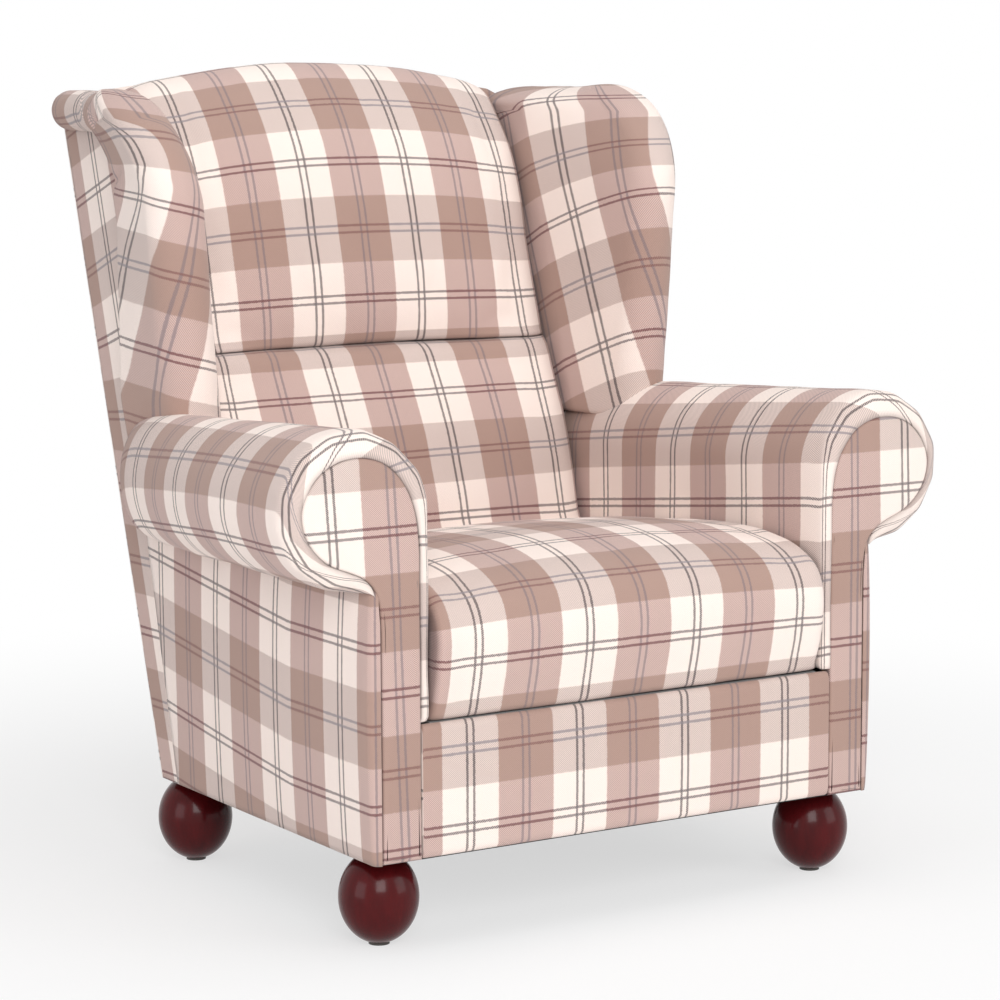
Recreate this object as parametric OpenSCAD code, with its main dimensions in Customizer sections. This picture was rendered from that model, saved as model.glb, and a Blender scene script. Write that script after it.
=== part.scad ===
/* [Overall] */
// Depth from the front of the seat to the rearmost point of the back
overall_d = 880; // [840:5:920]
// Width over the outside arm cloth
base_w = 740; // [710:5:780]
// Height of the underside of the body above the floor
foot_h = 114; // [95:1:130]
// Height of the top of the back at its middle
back_top_z = 1062; // [1030:2:1100]
// Backward lean of the back, in degrees
rake = 17.3; // [15:0.1:19]

/* [Seat] */
// Height of the seat's crown above the floor
seat_top_z = 466; // [440:1:490]
// Height of the crease between the seat and the front border
border_top_z = 279; // [260:1:300]
// How far the seat's front bulges past the arm fronts
seat_overhang = 19; // [10:1:30]
// Depth over which the seat's front edge rounds up to the crown
seat_round_d = 170; // [130:5:200]
// Fall of the seat's top from its middle to its ends
seat_crown = 13; // [5:1:25]
// Fall of the seat's top from its crown to the back
seat_fall = 50; // [20:5:60]

/* [Arms] */
// Distance from the body's side in to an arm's inside face
arm_w = 77.4; // [74:0.2:86]
// Height of the arm's top at the front
arm_front_z = 637; // [610:1:660]
// Height of the arm's top at the rear
arm_rear_z = 603; // [590:1:640]
// Radius of the arm roll at the front
roll_front_r = 97; // [85:1:105]
// Radius of the arm roll at the rear
roll_rear_r = 84; // [75:1:90]
// Radius of the scroll on the arm's front panel
scroll_r = 80; // [74:1:82]
// Height of the scroll's centre
scroll_z = 525; // [515:1:535]
// Width of the band of arm cloth that shows round the front panel
band_w = 12; // [8:1:14]
// Thickness of the arm padding
arm_pad_t = 22; // [14:1:24]

/* [Back] */
// Height of the sewn tuck across the back
tuck_z = 670; // [650:1:690]
// Depth of the lower back pad in front of the rear plane
lower_pad_d = 142; // [125:1:155]
// Depth of the upper back pad in front of the rear plane
upper_pad_d = 132; // [115:1:150]
// Depth of the back's wooden frame
back_frame_d = 56; // [50:1:60]
// Fall of the back's top edge from its middle to the wings
back_arch = 34; // [10:1:50]

/* [Wings] */
// Height of the top of the wings
wing_top_z = 1030; // [1000:1:1045]
// Depth of a wing at the arm, from its front edge to the rear of the chair
wing_depth = 253; // [235:1:275]
// Radius of the padded roll on the wing's front edge
wing_r = 31; // [26:1:35]
// Sideways flare of each wing from the arm up to its top
wing_flare = 31; // [10:1:34]
// Distance from the body's side in to the middle of a wing's front roll, at the arm
wing_inset = 17; // [12:1:20]
// How far the wing's padding wraps back on the outside
wing_wrap = 195; // [170:1:205]

/* [Feet] */
// Diameter of a ball foot
foot_d = 99; // [80:1:110]
// Distance from the body's side to a foot's centre
foot_side_inset = 42; // [40:1:60]
// Distance from the arm front to a front foot's centre
foot_front_inset = 66; // [40:1:70]
// Distance from the body's rear edge to a rear foot's centre
foot_rear_inset = 12; // [10:1:50]
// Diameter of the glide under a foot
glide_d = 26; // [20:1:34]
// Thickness of a glide
glide_t = 3; // [2:0.5:5]

/* [Cloth and boards] */
// Thickness of the cover cloth with its lining
cloth_t = 2; // [1:0.5:3]
// Thickness of the frame boards
board_t = 22; // [18:1:25]
// Height of the side rails
side_rail_h = 90; // [70:1:110]
// Thickness of the padded arm front panel
facing_t = 7; // [5:1:9]
// Clearance between neighbouring pieces
gap = 0.3; // [0.2:0.05:0.5]

/* [Hidden] */

cut = 1;
cloth = "antiquewhite";
plaid = "rosybrown";
wood = "burlywood";
foam = "khaki";
steel = "silver";

// Places that several pieces share
front_y = -overall_d / 2;
facing_y = front_y + seat_overhang;
frame_y = facing_y + facing_t + gap;
board_back_y = frame_y + board_t;
side_x = base_w / 2;
arm_in_x = side_x - arm_w;
facing_in_x = arm_in_x + band_w;
frame_x = side_x - cloth_t - gap;
frame_in_x = frame_x - board_t;
dust_t = 1.5;
rail_z = foot_h + dust_t;
deck_drop = 17;
deck_z = border_top_z - deck_drop;
rear_roll = 17;
rear_top_z = back_top_z - rear_roll;

function mix(a, b, t) = a + (b - a) * t;
function rear_y(z) = overall_d / 2 - (rear_top_z - z) * tan(rake);
function sides(n) = [for (i = [0 : n - 1]) i];

// A closed skin round a stack of rings that have equally many points
module loft(rings) {
    n = len(rings[0]);
    m = len(rings);
    points = [for (r = rings) each r];
    walls = [for (j = [0 : m - 2]) for (i = sides(n))
        let (a = j * n + i, b = j * n + (i + 1) % n) each [[a, b, b + n], [a, b + n, a + n]]];
    low = [for (i = [n - 1 : -1 : 0]) i];
    high = [for (i = sides(n)) (m - 1) * n + i];
    polyhedron(points, concat(walls, [low, high]));
}

// A sheet with thickness between two grids of points of the same size
module sheet(outer, inner) {
    m = len(outer);
    n = len(outer[0]);
    k = m * n;
    points = concat([for (r = outer) each r], [for (r = inner) each r]);
    faces = [for (j = [0 : m - 2]) for (i = [0 : n - 2])
        let (a = j * n + i, b = a + 1, c = a + n, d = c + 1)
        each [[a, b, d], [a, d, c], [k + a, k + d, k + b], [k + a, k + c, k + d]]];
    ends = [for (i = [0 : n - 2]) let (a = i, b = i + 1, c = (m - 1) * n + i, d = c + 1)
        each [[a, k + b, b], [a, k + a, k + b], [c, d, k + d], [c, k + d, k + c]]];
    edges = [for (j = [0 : m - 2]) let (a = j * n, b = a + n, c = a + n - 1, d = c + n)
        each [[a, b, k + b], [a, k + b, k + a], [c, k + d, d], [c, k + c, k + d]]];
    polyhedron(points, concat(faces, ends, edges));
}

// The same piece on the chair's other side
module flip(left) {
    if (left) mirror([1, 0, 0]) children();
    else children();
}

// A board that is cut to an outline in the side view, [y, z], and lies from x0 to x1
module side_board(x0, x1, outline) {
    translate([x0, 0, 0]) rotate([90, 0, 90]) linear_extrude(x1 - x0) polygon(outline);
}

// A bar across the back, parallel to its rake, from z0 to z1 and from depth d0 to d1
module raked_bar(half_w, z0, z1, d0, d1) {
    side_board(-half_w, half_w, [
        [rear_y(z0) - d1, z0], [rear_y(z0) - d0, z0], [rear_y(z1) - d0, z1], [rear_y(z1) - d1, z1]
    ]);
}

// Feet, each on a glide and held by a bolt in a tee nut
foot_facets = 16;
foot_top_share = 0.3;
bolt_d = 8;
bolt_fit = 0.2;
bolt_hole_d = bolt_d + 2 * bolt_fit;
bolt_in_foot = 40;
bolt_head = 12;
tee_flange_d = 22;
tee_flange_t = 2;
tee_barrel_d = 11;
tee_barrel_h = 10;
block_h = 30;
block_w = 96;
foot_x = side_x - foot_side_inset;
foot_front_y = facing_y + foot_front_inset;
foot_rear_y = rear_y(foot_h) - foot_rear_inset;
foot_places = [
    [-foot_x, foot_front_y], [foot_x, foot_front_y], [-foot_x, foot_rear_y], [foot_x, foot_rear_y]
];
foot_body_h = foot_h - glide_t;
foot_low = asin(glide_d / foot_d);
foot_high = asin(foot_top_share);
foot_half_h = foot_body_h / (cos(foot_low) + cos(foot_high));
foot_mid_z = glide_t + foot_half_h * cos(foot_low);

module foot(place) {
    arc = [for (i = [0 : foot_facets]) mix(foot_low, 180 - foot_high, i / foot_facets)];
    color("maroon") translate([place[0], place[1], 0]) difference() {
        rotate_extrude($fn = 96) polygon(concat(
            [[0, glide_t]],
            [for (a = arc) [foot_d / 2 * sin(a), foot_mid_z - foot_half_h * cos(a)]],
            [[0, foot_h]]
        ));
        translate([0, 0, foot_h - bolt_in_foot - cut])
            cylinder(d = bolt_hole_d, h = bolt_in_foot + 2 * cut, $fn = 32);
    }
}
module foot_front_left() foot(foot_places[0]);
module foot_front_right() foot(foot_places[1]);
module foot_rear_left() foot(foot_places[2]);
module foot_rear_right() foot(foot_places[3]);

module foot_glides() {
    color("dimgray") for (p = foot_places) translate([p[0], p[1], 0])
        cylinder(d = glide_d, h = glide_t, $fn = 48);
}
module foot_bolts() {
    color(steel) for (p = foot_places) translate([p[0], p[1], foot_h - bolt_in_foot])
        cylinder(d = bolt_d, h = bolt_in_foot + dust_t + block_h + bolt_head, $fn = 32);
}
module tee_nut(grow) {
    cylinder(d = tee_barrel_d + 2 * grow, h = tee_barrel_h + cut * grow, $fn = 32);
    translate([0, 0, tee_barrel_h]) cylinder(d = tee_flange_d, h = tee_flange_t, $fn = 48);
}
module foot_tee_nuts() {
    color(steel) for (p = foot_places) translate([p[0], p[1], rail_z + block_h - tee_barrel_h])
        difference() {
            tee_nut(0);
            translate([0, 0, -cut])
                cylinder(d = bolt_hole_d, h = tee_barrel_h + tee_flange_t + 2 * cut, $fn = 32);
        }
}

// Base frame: four rails, blocks in the corners and the screws that hold the blocks
screw_d = 5;
screw_head_d = 9;
screw_head_t = 2;
screw_reach = 16;
screw_z_share = 0.5;
block_in_x = frame_in_x - gap - block_w;
block_front_y = board_back_y + gap;
rear_rail_y = rear_y(rail_z) - cloth_t - gap - board_t;
block_rear_y = rear_rail_y + board_t;
rear_rail_z = rail_z + block_h + gap;
front_screw_y = block_front_y + block_w * 3 / 4;
rear_screw_y = block_rear_y - block_w * 3 / 4;
post_foot_d = 45;
post_arm_d = 66;
post_top_d = 58;
rail_end_y = rear_y(rail_z) - post_foot_d - gap;

module front_rail() {
    color(wood) translate([-frame_in_x + gap, frame_y, rail_z])
        cube([2 * (frame_in_x - gap), board_t, deck_z - rail_z]);
}
module rear_rail() {
    notch_w = tee_flange_d + 4 * bolt_fit;
    color(wood) difference() {
        translate([-frame_in_x + gap, rear_rail_y, rear_rail_z])
            cube([2 * (frame_in_x - gap), board_t, deck_z - rear_rail_z]);
        for (x = [-foot_x, foot_x])
            translate([x - notch_w / 2, rear_rail_y - cut, rear_rail_z - cut])
                cube([notch_w, board_t + 2 * cut, bolt_head + bolt_fit + cut]);
    }
}
module side_rail() {
    color(wood) difference() {
        translate([frame_in_x, block_front_y, rail_z])
            cube([board_t, rail_end_y - block_front_y, side_rail_h]);
        for (y = [front_screw_y, rear_screw_y])
            translate([frame_in_x - cut, y, rail_z + block_h * screw_z_share]) rotate([0, 90, 0])
                cylinder(d = screw_d + 2 * bolt_fit, h = screw_reach + cut, $fn = 24);
    }
}
module side_rail_left() flip(true) side_rail();
module side_rail_right() side_rail();

module block(y, screw_y) {
    difference() {
        translate([block_in_x, y, rail_z]) cube([block_w, block_w, block_h]);
        translate([block_in_x - cut, screw_y, rail_z + block_h * screw_z_share])
            rotate([0, 90, 0]) cylinder(d = screw_d + 2 * bolt_fit, h = block_w + 2 * cut, $fn = 24);
        for (p = foot_places) translate([abs(p[0]), p[1], rail_z - cut]) {
            cylinder(d = bolt_hole_d, h = block_h + 2 * cut, $fn = 32);
            translate([0, 0, block_h - tee_barrel_h + cut - bolt_fit])
                cylinder(d = tee_barrel_d + 2 * bolt_fit, h = tee_barrel_h + 2 * cut, $fn = 32);
        }
    }
}
module corner_blocks() {
    color(wood) for (left = [false, true]) flip(left) {
        block(block_front_y, front_screw_y);
        block(block_rear_y - block_w, rear_screw_y);
    }
}
module corner_screws() {
    color(steel) for (left = [false, true]) flip(left)
        for (y = [front_screw_y, rear_screw_y])
            translate([block_in_x - screw_head_t, y, rail_z + block_h * screw_z_share])
                rotate([0, 90, 0]) {
                    cylinder(d = screw_head_d, h = screw_head_t, $fn = 32);
                    cylinder(d = screw_d, h = screw_head_t + block_w + screw_reach - bolt_fit, $fn = 24);
                }
}
module dust_cover() {
    color("dimgray") difference() {
        side_board(-side_x + cloth_t, side_x - cloth_t, [
            [facing_y + cloth_t, foot_h], [rear_y(foot_h) - cloth_t, foot_h],
            [rear_y(foot_h) - cloth_t, rail_z], [facing_y + cloth_t, rail_z]
        ]);
        for (p = foot_places) translate([p[0], p[1], foot_h - cut])
            cylinder(d = bolt_hole_d, h = dust_t + 2 * cut, $fn = 32);
    }
}

// Arms: the path of the cloth in a section across the arm, from the seat up and round the roll
arm_low_z = border_top_z + cloth_t + gap;
arm_steps = 14;
band_round = 25;
band_proud = 3;
band_y = facing_y - band_proud;
arm_end_y = rear_y(arm_rear_z - 2 * roll_rear_r) - post_arm_d - gap;
arm_round_y = 110;
junction_x = side_x + cloth_t + gap;

function arm_t(y) = (y - facing_y) / (arm_end_y - facing_y);
function roll_r(y) = mix(roll_front_r, roll_rear_r, arm_t(y));
function roll_z(y) = mix(arm_front_z, arm_rear_z, arm_t(y)) - roll_r(y);
// The roll's outer half draws in behind its middle, slowly first and then round its end
taper_from_share = 0.27;
taper_to_share = 0.8;
taper_share = 0.29;
taper_power = 1.5;
function arm_taper(y) = let (t = (arm_t(y) - taper_from_share) / (taper_to_share - taper_from_share))
    1 - taper_share * pow(min(1, max(0, t)), taper_power);
function rear_squeeze(y) = let (t = max(0, (y - arm_end_y + arm_round_y) / arm_round_y))
    arm_taper(y) * sqrt(max(0, 1 - t * t));
function arm_path(y, inset, front) =
    let (
        s = max(y, facing_y),
        r = mix(roll_r(s), scroll_r, front),
        x0 = mix(arm_in_x, facing_in_x, front),
        cx = x0 + r,
        cz = mix(roll_z(s), scroll_z, front),
        last = -90 - asin((cx - junction_x) / r),
        k = rear_squeeze(y)
    )
    concat(
        [[x0 + inset, y, arm_low_z], [x0 + inset, y, mix(arm_low_z, cz, 1 / 2)]],
        [for (i = [0 : arm_steps]) let (a = mix(180, last, i / arm_steps), x = cx + (r - inset) * cos(a))
            [cos(a) > 0 ? mix(junction_x - inset, x, k) : x, y, cz + (r - inset) * sin(a)]]
    );
function band_ys(inset) = [for (a = [90, 55, 25]) [band_y + inset * sin(a) + band_round * (1 - sin(a)), 1 - cos(a)]];
function arm_ys() =
    [for (t = [0, 1 / 3, 3 / 5, 4 / 5, 1]) mix(band_y + band_round, arm_end_y - arm_round_y, t)];
function arm_ys_from(y) = concat([y], [for (s = arm_ys()) if (s > y) s]);
function end_ys(last) = [for (a = [35, 60, 80]) arm_end_y - arm_round_y + arm_round_y * sin(a) * last];
function foam_end_ys() = [for (i = [0, 1]) end_ys(end_share)[i]];
end_share = 0.998;
function arm_rings(inset) = concat(
    [for (b = band_ys(inset)) arm_path(b[0], b[1] * inset == 0 ? inset : inset * (1 - b[1]), b[1])],
    [for (y = arm_ys()) arm_path(y, inset, 0)],
    [for (y = end_ys(end_share)) arm_path(y, inset, 0)]
);
module behind_posts() {
    zs = [foot_h, arm_rail_z, post_top_z];
    side_board(0, base_w, concat([for (z = zs) [post_front_y(z) - gap, z]],
        [[overall_d, post_top_z], [overall_d, foot_h]]));
}
module arm_layer(from, to, ys) {
    difference() {
        sheet([for (y = ys) arm_path(y, from, 0)], [for (y = ys) arm_path(y, to, 0)]);
        wing_board_blank(gap);
        behind_posts();
    }
}
module arm_block() {
    ys = concat(arm_ys_from(wing_front_y - wing_r), end_ys(end_share), [arm_end_y + gap]);
    loft([for (i = [len(ys) - 1 : -1 : 0]) arm_path(ys[i], -gap, 0)]);
}
module arm_cover() {
    color(plaid) difference() {
        sheet(arm_rings(0), arm_rings(cloth_t));
        wing_board_blank(gap);
        behind_posts();
    }
}
module arm_cover_left() flip(true) arm_cover();
module arm_cover_right() arm_cover();

pad_in = cloth_t + gap;
pad_out = pad_in + arm_pad_t;
module arm_foam() {
    color(foam) arm_layer(pad_in, pad_out, concat(arm_ys(), foam_end_ys()));
}
module arm_foam_left() flip(true) arm_foam();
module arm_foam_right() arm_foam();

former_t = 2;
module arm_former() {
    color("tan") arm_layer(pad_out + gap, pad_out + gap + former_t, arm_ys_from(board_back_y + gap));
}
module arm_former_left() flip(true) arm_former();
module arm_former_right() arm_former();

module keyhole(x0, x1, z0, cx, cz, r) {
    rotate([90, 0, 0]) linear_extrude(board_t) union() {
        translate([x0, z0]) square([x1 - x0, cz - z0]);
        translate([cx, cz]) circle(r, $fn = 96);
    }
}
board_r = roll_front_r - pad_out - gap;
module arm_scroll_board() {
    color(wood) translate([0, board_back_y, 0])
        keyhole(arm_in_x + pad_out + gap, frame_x, deck_z + gap,
            arm_in_x + roll_front_r, roll_z(facing_y), board_r);
}
module arm_scroll_board_left() flip(true) arm_scroll_board();
module arm_scroll_board_right() arm_scroll_board();

module arm_front_panel() {
    color(plaid) intersection() {
        translate([0, facing_y + board_t, 0])
            keyhole(facing_in_x + gap, side_x, foot_h, facing_in_x + scroll_r, scroll_z, scroll_r - gap);
        translate([0, facing_y, 0]) cube([base_w, facing_t, arm_front_z]);
    }
}
module arm_front_panel_left() flip(true) arm_front_panel();
module arm_front_panel_right() arm_front_panel();

arm_rail_h = 50;
arm_rail_z = roll_z(arm_end_y) - roll_rear_r + cloth_t;
module arm_rail() {
    color(wood) side_board(frame_in_x, frame_x, [
        [board_back_y + gap, arm_rail_z], [post_front_y(arm_rail_z) - gap, arm_rail_z],
        [post_front_y(arm_rail_z) - gap, arm_rail_z + arm_rail_h], [board_back_y + gap, arm_rail_z + arm_rail_h]
    ]);
}
module arm_rail_left() flip(true) arm_rail();
module arm_rail_right() arm_rail();

// Back frame: raked posts, three rails between them, and webbing on the rails
post_top_z = wing_top_z - wing_r * 4 / 3;
function post_d(z) = z < arm_rail_z ?
    mix(post_foot_d, post_arm_d, (z - rail_z) / (arm_rail_z - rail_z)) :
    mix(post_arm_d, post_top_d, (z - arm_rail_z) / (post_top_z - arm_rail_z));
function post_front_y(z) = rear_y(z) - post_d(z);
module back_post() {
    back = cloth_t + gap;
    color(wood) side_board(frame_in_x, frame_x, [
        [rear_y(rail_z) - back, rail_z], [rear_y(post_top_z) - back, post_top_z],
        [post_front_y(post_top_z), post_top_z], [post_front_y(arm_rail_z), arm_rail_z],
        [post_front_y(rail_z), rail_z]
    ]);
}
module back_post_left() flip(true) back_post();
module back_post_right() back_post();

rail_half_w = frame_in_x - gap;
web_t = 1.5;
web_w = 50;
web_front_d = back_frame_d - gap;
web_back_d = web_front_d - 2 * web_t - gap;
rail_front_d = web_back_d - gap;
rail_back_d = rail_front_d - board_t;
top_rail_h = 60;
tuck_rail_h = 45;
bottom_rail_h = 60;
bottom_rail_z = deck_z + board_t;
module back_top_rail() {
    color(wood) raked_bar(rail_half_w, post_top_z - top_rail_h, post_top_z, rail_back_d, rail_front_d);
}
module back_tuck_rail() {
    color(wood) raked_bar(rail_half_w, tuck_z - tuck_rail_h / 2, tuck_z + tuck_rail_h / 2,
        rail_back_d, rail_front_d);
}
module back_bottom_rail() {
    color(wood) raked_bar(rail_half_w, bottom_rail_z, bottom_rail_z + bottom_rail_h,
        rail_back_d, rail_front_d);
}
upright_places_shares = [-0.66, -0.22, 0.22, 0.66];
cross_places_shares = [0.2, 0.36, 0.68, 0.84];
module back_webbing() {
    color("olive") {
        for (s = upright_places_shares) translate([s * arm_in_x, 0, 0])
            raked_bar(web_w / 2, bottom_rail_z, post_top_z, web_back_d, web_back_d + web_t);
        for (s = cross_places_shares) let (z = mix(bottom_rail_z, post_top_z, s))
            raked_bar(rail_half_w, z, z + web_w, web_back_d + web_t, web_front_d - gap);
    }
}

// Back pads and covers, as shares of height and depth along each half's front face
lower_low_z = deck_z + 2 * board_t;
lower_shares = [
    [0, 0.97], [0.3, 1], [0.6, 1], [0.75, 0.98], [0.86, 0.92], [0.93, 0.86], [0.975, 0.78], [1, 0.67]
];
upper_shares = [
    [0, 0.72], [0.03, 0.81], [0.08, 0.88], [0.15, 0.93], [0.26, 0.98], [0.42, 1], [0.6, 1],
    [0.7, 0.96], [0.8, 0.9], [0.89, 0.79], [0.96, 0.62], [0.995, 0.45], [0.985, 0.2], [0.95, 0.05]
];
back_half_w = arm_in_x - gap;
back_flat_share = 0.84;
back_edge_share = 0.6;
back_columns_shares = [-1, -0.985, -0.94, -0.84, -0.45, 0, 0.45, 0.84, 0.94, 0.985, 1];
function edge_fall(s) = let (t = max(0, (abs(s) - back_flat_share) / (1 - back_flat_share)))
    mix(back_edge_share, 1, sqrt(max(0, 1 - t * t)));
function lower_ring(s, inset) =
    let (x = s * (back_half_w - inset), k = edge_fall(s), z0 = lower_low_z + inset, z1 = tuck_z - gap - inset)
    concat(
        [[x, rear_y(z0) - back_frame_d, z0]],
        [for (p = lower_shares) let (z = mix(z0, z1, p[0]))
            [x, rear_y(z) - mix(back_frame_d, lower_pad_d * p[1] - inset, k), z]],
        [[x, rear_y(z1) - back_frame_d, z1]]
    );
function upper_ring(s, inset) =
    let (
        x = s * (back_half_w - inset), k = edge_fall(s), top = back_top_z - back_arch * s * s - inset,
        z0 = tuck_z + gap + inset, shelf = post_top_z + gap + inset
    )
    concat(
        [[x, rear_y(z0) - back_frame_d, z0]],
        [for (p = upper_shares) let (z = mix(z0, top, p[0]), full = upper_pad_d * p[1],
            d = full < back_frame_d ? max(inset, full) : mix(back_frame_d, full - inset, k))
            [x, rear_y(z) - max(d, inset + cloth_t), z]],
        [[x, rear_y(shelf) - inset - cloth_t, shelf], [x, rear_y(shelf) - back_frame_d, shelf]]
    );
function lower_rings(inset) = [for (s = back_columns_shares) lower_ring(s, inset)];
function upper_rings(inset) = [for (s = back_columns_shares) upper_ring(s, inset)];
module back_foam_lower() {
    color(foam) loft(lower_rings(pad_in));
}
module back_cover_lower() {
    color(plaid) sheet(lower_rings(0), lower_rings(cloth_t));
}
module back_foam_upper() {
    color(foam) loft(upper_rings(pad_in));
}
module back_cover_upper() {
    color(plaid) sheet(upper_rings(0), upper_rings(cloth_t));
}

// Wings: a level section, from the outside panel's seam round the front to the back cushion
wing_front_y = rear_y(arm_rear_z) - wing_depth;
wing_seam_y = wing_front_y + wing_wrap;
wing_low_z = arm_rear_z - wing_r;
wing_corner = 100;
wing_seam_h = 110;
wing_proud = 15;
wing_lip = 36;
wing_steps = 8;
wing_shelf_z = post_top_z + gap;

function wing_mid_x(z) = side_x - wing_inset + wing_flare * (z - arm_rear_z) / (wing_top_z - arm_rear_z);
function wing_seam(z, rear) =
    let (t = min(1, max(0, z - post_top_z + wing_seam_h) / wing_seam_h))
    min(rear - 4 * gap, mix(wing_seam_y, post_front_y(post_top_z), 1 - sqrt(1 - t * t)));
wing_seam_steps = 5;
function wing_seam_z(i) = post_top_z - wing_seam_h * (1 - sin(90 * i / wing_seam_steps));
function wing_ring(z, inset, above) =
    let (
        corner = max(0, z - wing_top_z + wing_corner),
        front = wing_front_y + wing_corner - sqrt(max(0, pow(wing_corner - inset, 2) - corner * corner)),
        up = max(0, z - wing_top_z + wing_r),
        half = max(gap, sqrt(max(0, pow(wing_r - inset, 2) - up * up))),
        full = half / (wing_r - inset),
        cx = wing_mid_x(z),
        cy = front + half,
        in_x = mix(cx, arm_in_x + gap + inset, full),
        out_x = mix(cx, side_x + wing_proud - inset, full),
        rear = above ? rear_y(z) - cloth_t - gap : post_front_y(min(z, post_top_z)) - gap,
        seam = wing_seam(z, rear),
        lip = wing_lip * full
    )
    concat(
        above ? [
            [mix(out_x, cx, 1 / 2), rear, z], [mix(out_x, cx, 1 / 8), rear - lip / 4, z],
            [out_x, rear - lip / 2, z], [out_x, rear - lip, z]
        ] : [
            [frame_x - inset, rear, z], [frame_x - inset, seam, z],
            [side_x + cloth_t - inset, seam - inset, z], [out_x, seam - wing_lip, z]
        ],
        [for (i = [0 : wing_steps]) let (a = mix(0, 180, i / wing_steps))
            [cx + half * cos(a), cy - half * sin(a), z]],
        [[in_x, max(cy + half, rear_y(z) - upper_pad_d), z], [in_x, rear, z]]
    );
function wing_rings(inset) =
    let (
        shelf = wing_shelf_z + inset,
        below = concat([wing_low_z, arm_rear_z + wing_r],
            [for (i = [0 : wing_seam_steps - 1]) wing_seam_z(i)], [shelf]),
        curve = [for (a = [0, 25, 50, 70, 84, 90]) wing_top_z - wing_r + (wing_r - inset) * sin(a)]
    )
    concat(
        [for (z = below) wing_ring(z, inset, false)],
        [for (z = concat([shelf + gap], curve)) wing_ring(z, inset, true)]
    );
wing_board_t = 18;
wing_board_x = frame_x - pad_in - wing_board_t;
wing_board_front_y = wing_front_y + wing_r * 4 / 3;
wing_board_low_z = arm_rail_z + arm_rail_h + gap;
wing_board_top_z = post_top_z - board_t;
wing_board_corner = 60;
module wing_board_blank(grow) {
    low = wing_board_low_z - grow;
    high = wing_board_top_z + grow;
    front = wing_board_front_y - grow;
    rear = grow - gap;
    side_board(wing_board_x - grow, wing_board_x + wing_board_t + grow, [
        [front, low], [post_front_y(low) + rear, low], [post_front_y(high) + rear, high],
        [front + wing_board_corner, high], [front, high - wing_board_corner]
    ]);
}
module wing_board() {
    color(wood) wing_board_blank(0);
}
module wing_board_left() flip(true) wing_board();
module wing_board_right() wing_board();

module wing_foam() {
    color(foam) difference() {
        loft(wing_rings(pad_in));
        wing_board_blank(gap);
        arm_block();
    }
}
module wing_foam_left() flip(true) wing_foam();
module wing_foam_right() wing_foam();

module wing_cover() {
    color(plaid) difference() {
        sheet(wing_rings(0), wing_rings(cloth_t));
        arm_block();
    }
}
module wing_cover_left() flip(true) wing_cover();
module wing_cover_right() wing_cover();

// Outside cloths: arm sides, wing sides with the strip down the posts, and the rear
outside_top_z = arm_rail_z + arm_rail_h / 4;
module outside_arm() {
    color(plaid) side_board(side_x - cloth_t, side_x, [
        [facing_y + facing_t + gap, foot_h], [post_front_y(rail_z) - gap, foot_h],
        [post_front_y(arm_rail_z) - gap, arm_rail_z], [post_front_y(outside_top_z) - gap, outside_top_z],
        [facing_y + facing_t + gap, outside_top_z]
    ]);
}
module outside_arm_left() flip(true) outside_arm();
module outside_arm_right() outside_arm();

module outside_wing() {
    zs = concat([wing_low_z, arm_rear_z + wing_r], [for (i = [0 : wing_seam_steps]) wing_seam_z(i)]);
    color(plaid) side_board(side_x - cloth_t, side_x, concat(
        [[rear_y(post_top_z) - cloth_t, post_top_z], [rear_y(foot_h) - cloth_t, foot_h]],
        [[post_front_y(foot_h), foot_h], [post_front_y(arm_rail_z), arm_rail_z]],
        [[post_front_y(arm_rail_z), wing_low_z - gap]],
        [for (z = zs) [wing_seam(z, post_front_y(z) - gap) + gap, z]]
    ));
}
module outside_wing_left() flip(true) outside_wing();
module outside_wing_right() outside_wing();

module outside_back() {
    columns = [for (i = [-4 : 4]) i / 4];
    function top(s) = rear_top_z - back_arch * s * s;
    color(plaid) sheet(
        [for (s = columns) [[s * side_x, rear_y(foot_h), foot_h], [s * side_x, rear_y(top(s)), top(s)]]],
        [for (s = columns) [[s * side_x, rear_y(foot_h) - cloth_t + gap, foot_h],
            [s * side_x, rear_y(top(s)) - cloth_t + gap, top(s)]]]
    );
}

// Seat: foam with a crown and drawn-in ends, and its cover
seat_slot = 3;
seat_half_w = arm_in_x - seat_slot;
crease_z = border_top_z + gap;
seat_shares = [
    [0.165, 0], [0.09, 0.11], [0.03, 0.28], [0, 0.5], [0.02, 0.685], [0.07, 0.78], [0.15, 0.85],
    [0.26, 0.91], [0.42, 0.955], [0.66, 0.985], [1, 1]
];
seat_top_shares = [[0.35, 0.14], [0.7, 0.6], [1, 1]];
seat_columns_shares = [-1, -0.985, -0.95, -0.8, -0.4, 0, 0.4, 0.8, 0.95, 0.985, 1];
seat_end_share = 0.95;
seat_end_r = 15;
function seat_ring(s, inset, low) =
    let (
        x = s * (seat_half_w - inset),
        t = max(0, (abs(s) - seat_end_share) / (1 - seat_end_share)),
        draw = seat_end_r * (1 - sqrt(max(0, 1 - t * t))) + inset,
        rise = seat_top_z - seat_crown * s * s - crease_z - draw,
        back = lower_pad_d + gap + inset,
        rear_z = crease_z + rise - seat_fall
    )
    concat(
        [for (p = seat_shares) [x, front_y + draw + seat_round_d * p[0], crease_z - low + (rise + low) * p[1]]],
        [for (p = seat_top_shares) [x, mix(front_y + draw + seat_round_d, rear_y(rear_z) - back, p[0]),
            crease_z + rise - seat_fall * p[1]]],
        [[x, rear_y(crease_z) - back, crease_z - low]]
    );
module seat_form(inset, low) {
    loft([for (s = seat_columns_shares) seat_ring(s, inset, low)]);
}
module seat_foam() {
    color(foam) seat_form(pad_in, 0);
}
module seat_cover() {
    color(plaid) difference() {
        seat_form(0, 0);
        seat_form(cloth_t, cut);
    }
}

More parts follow.
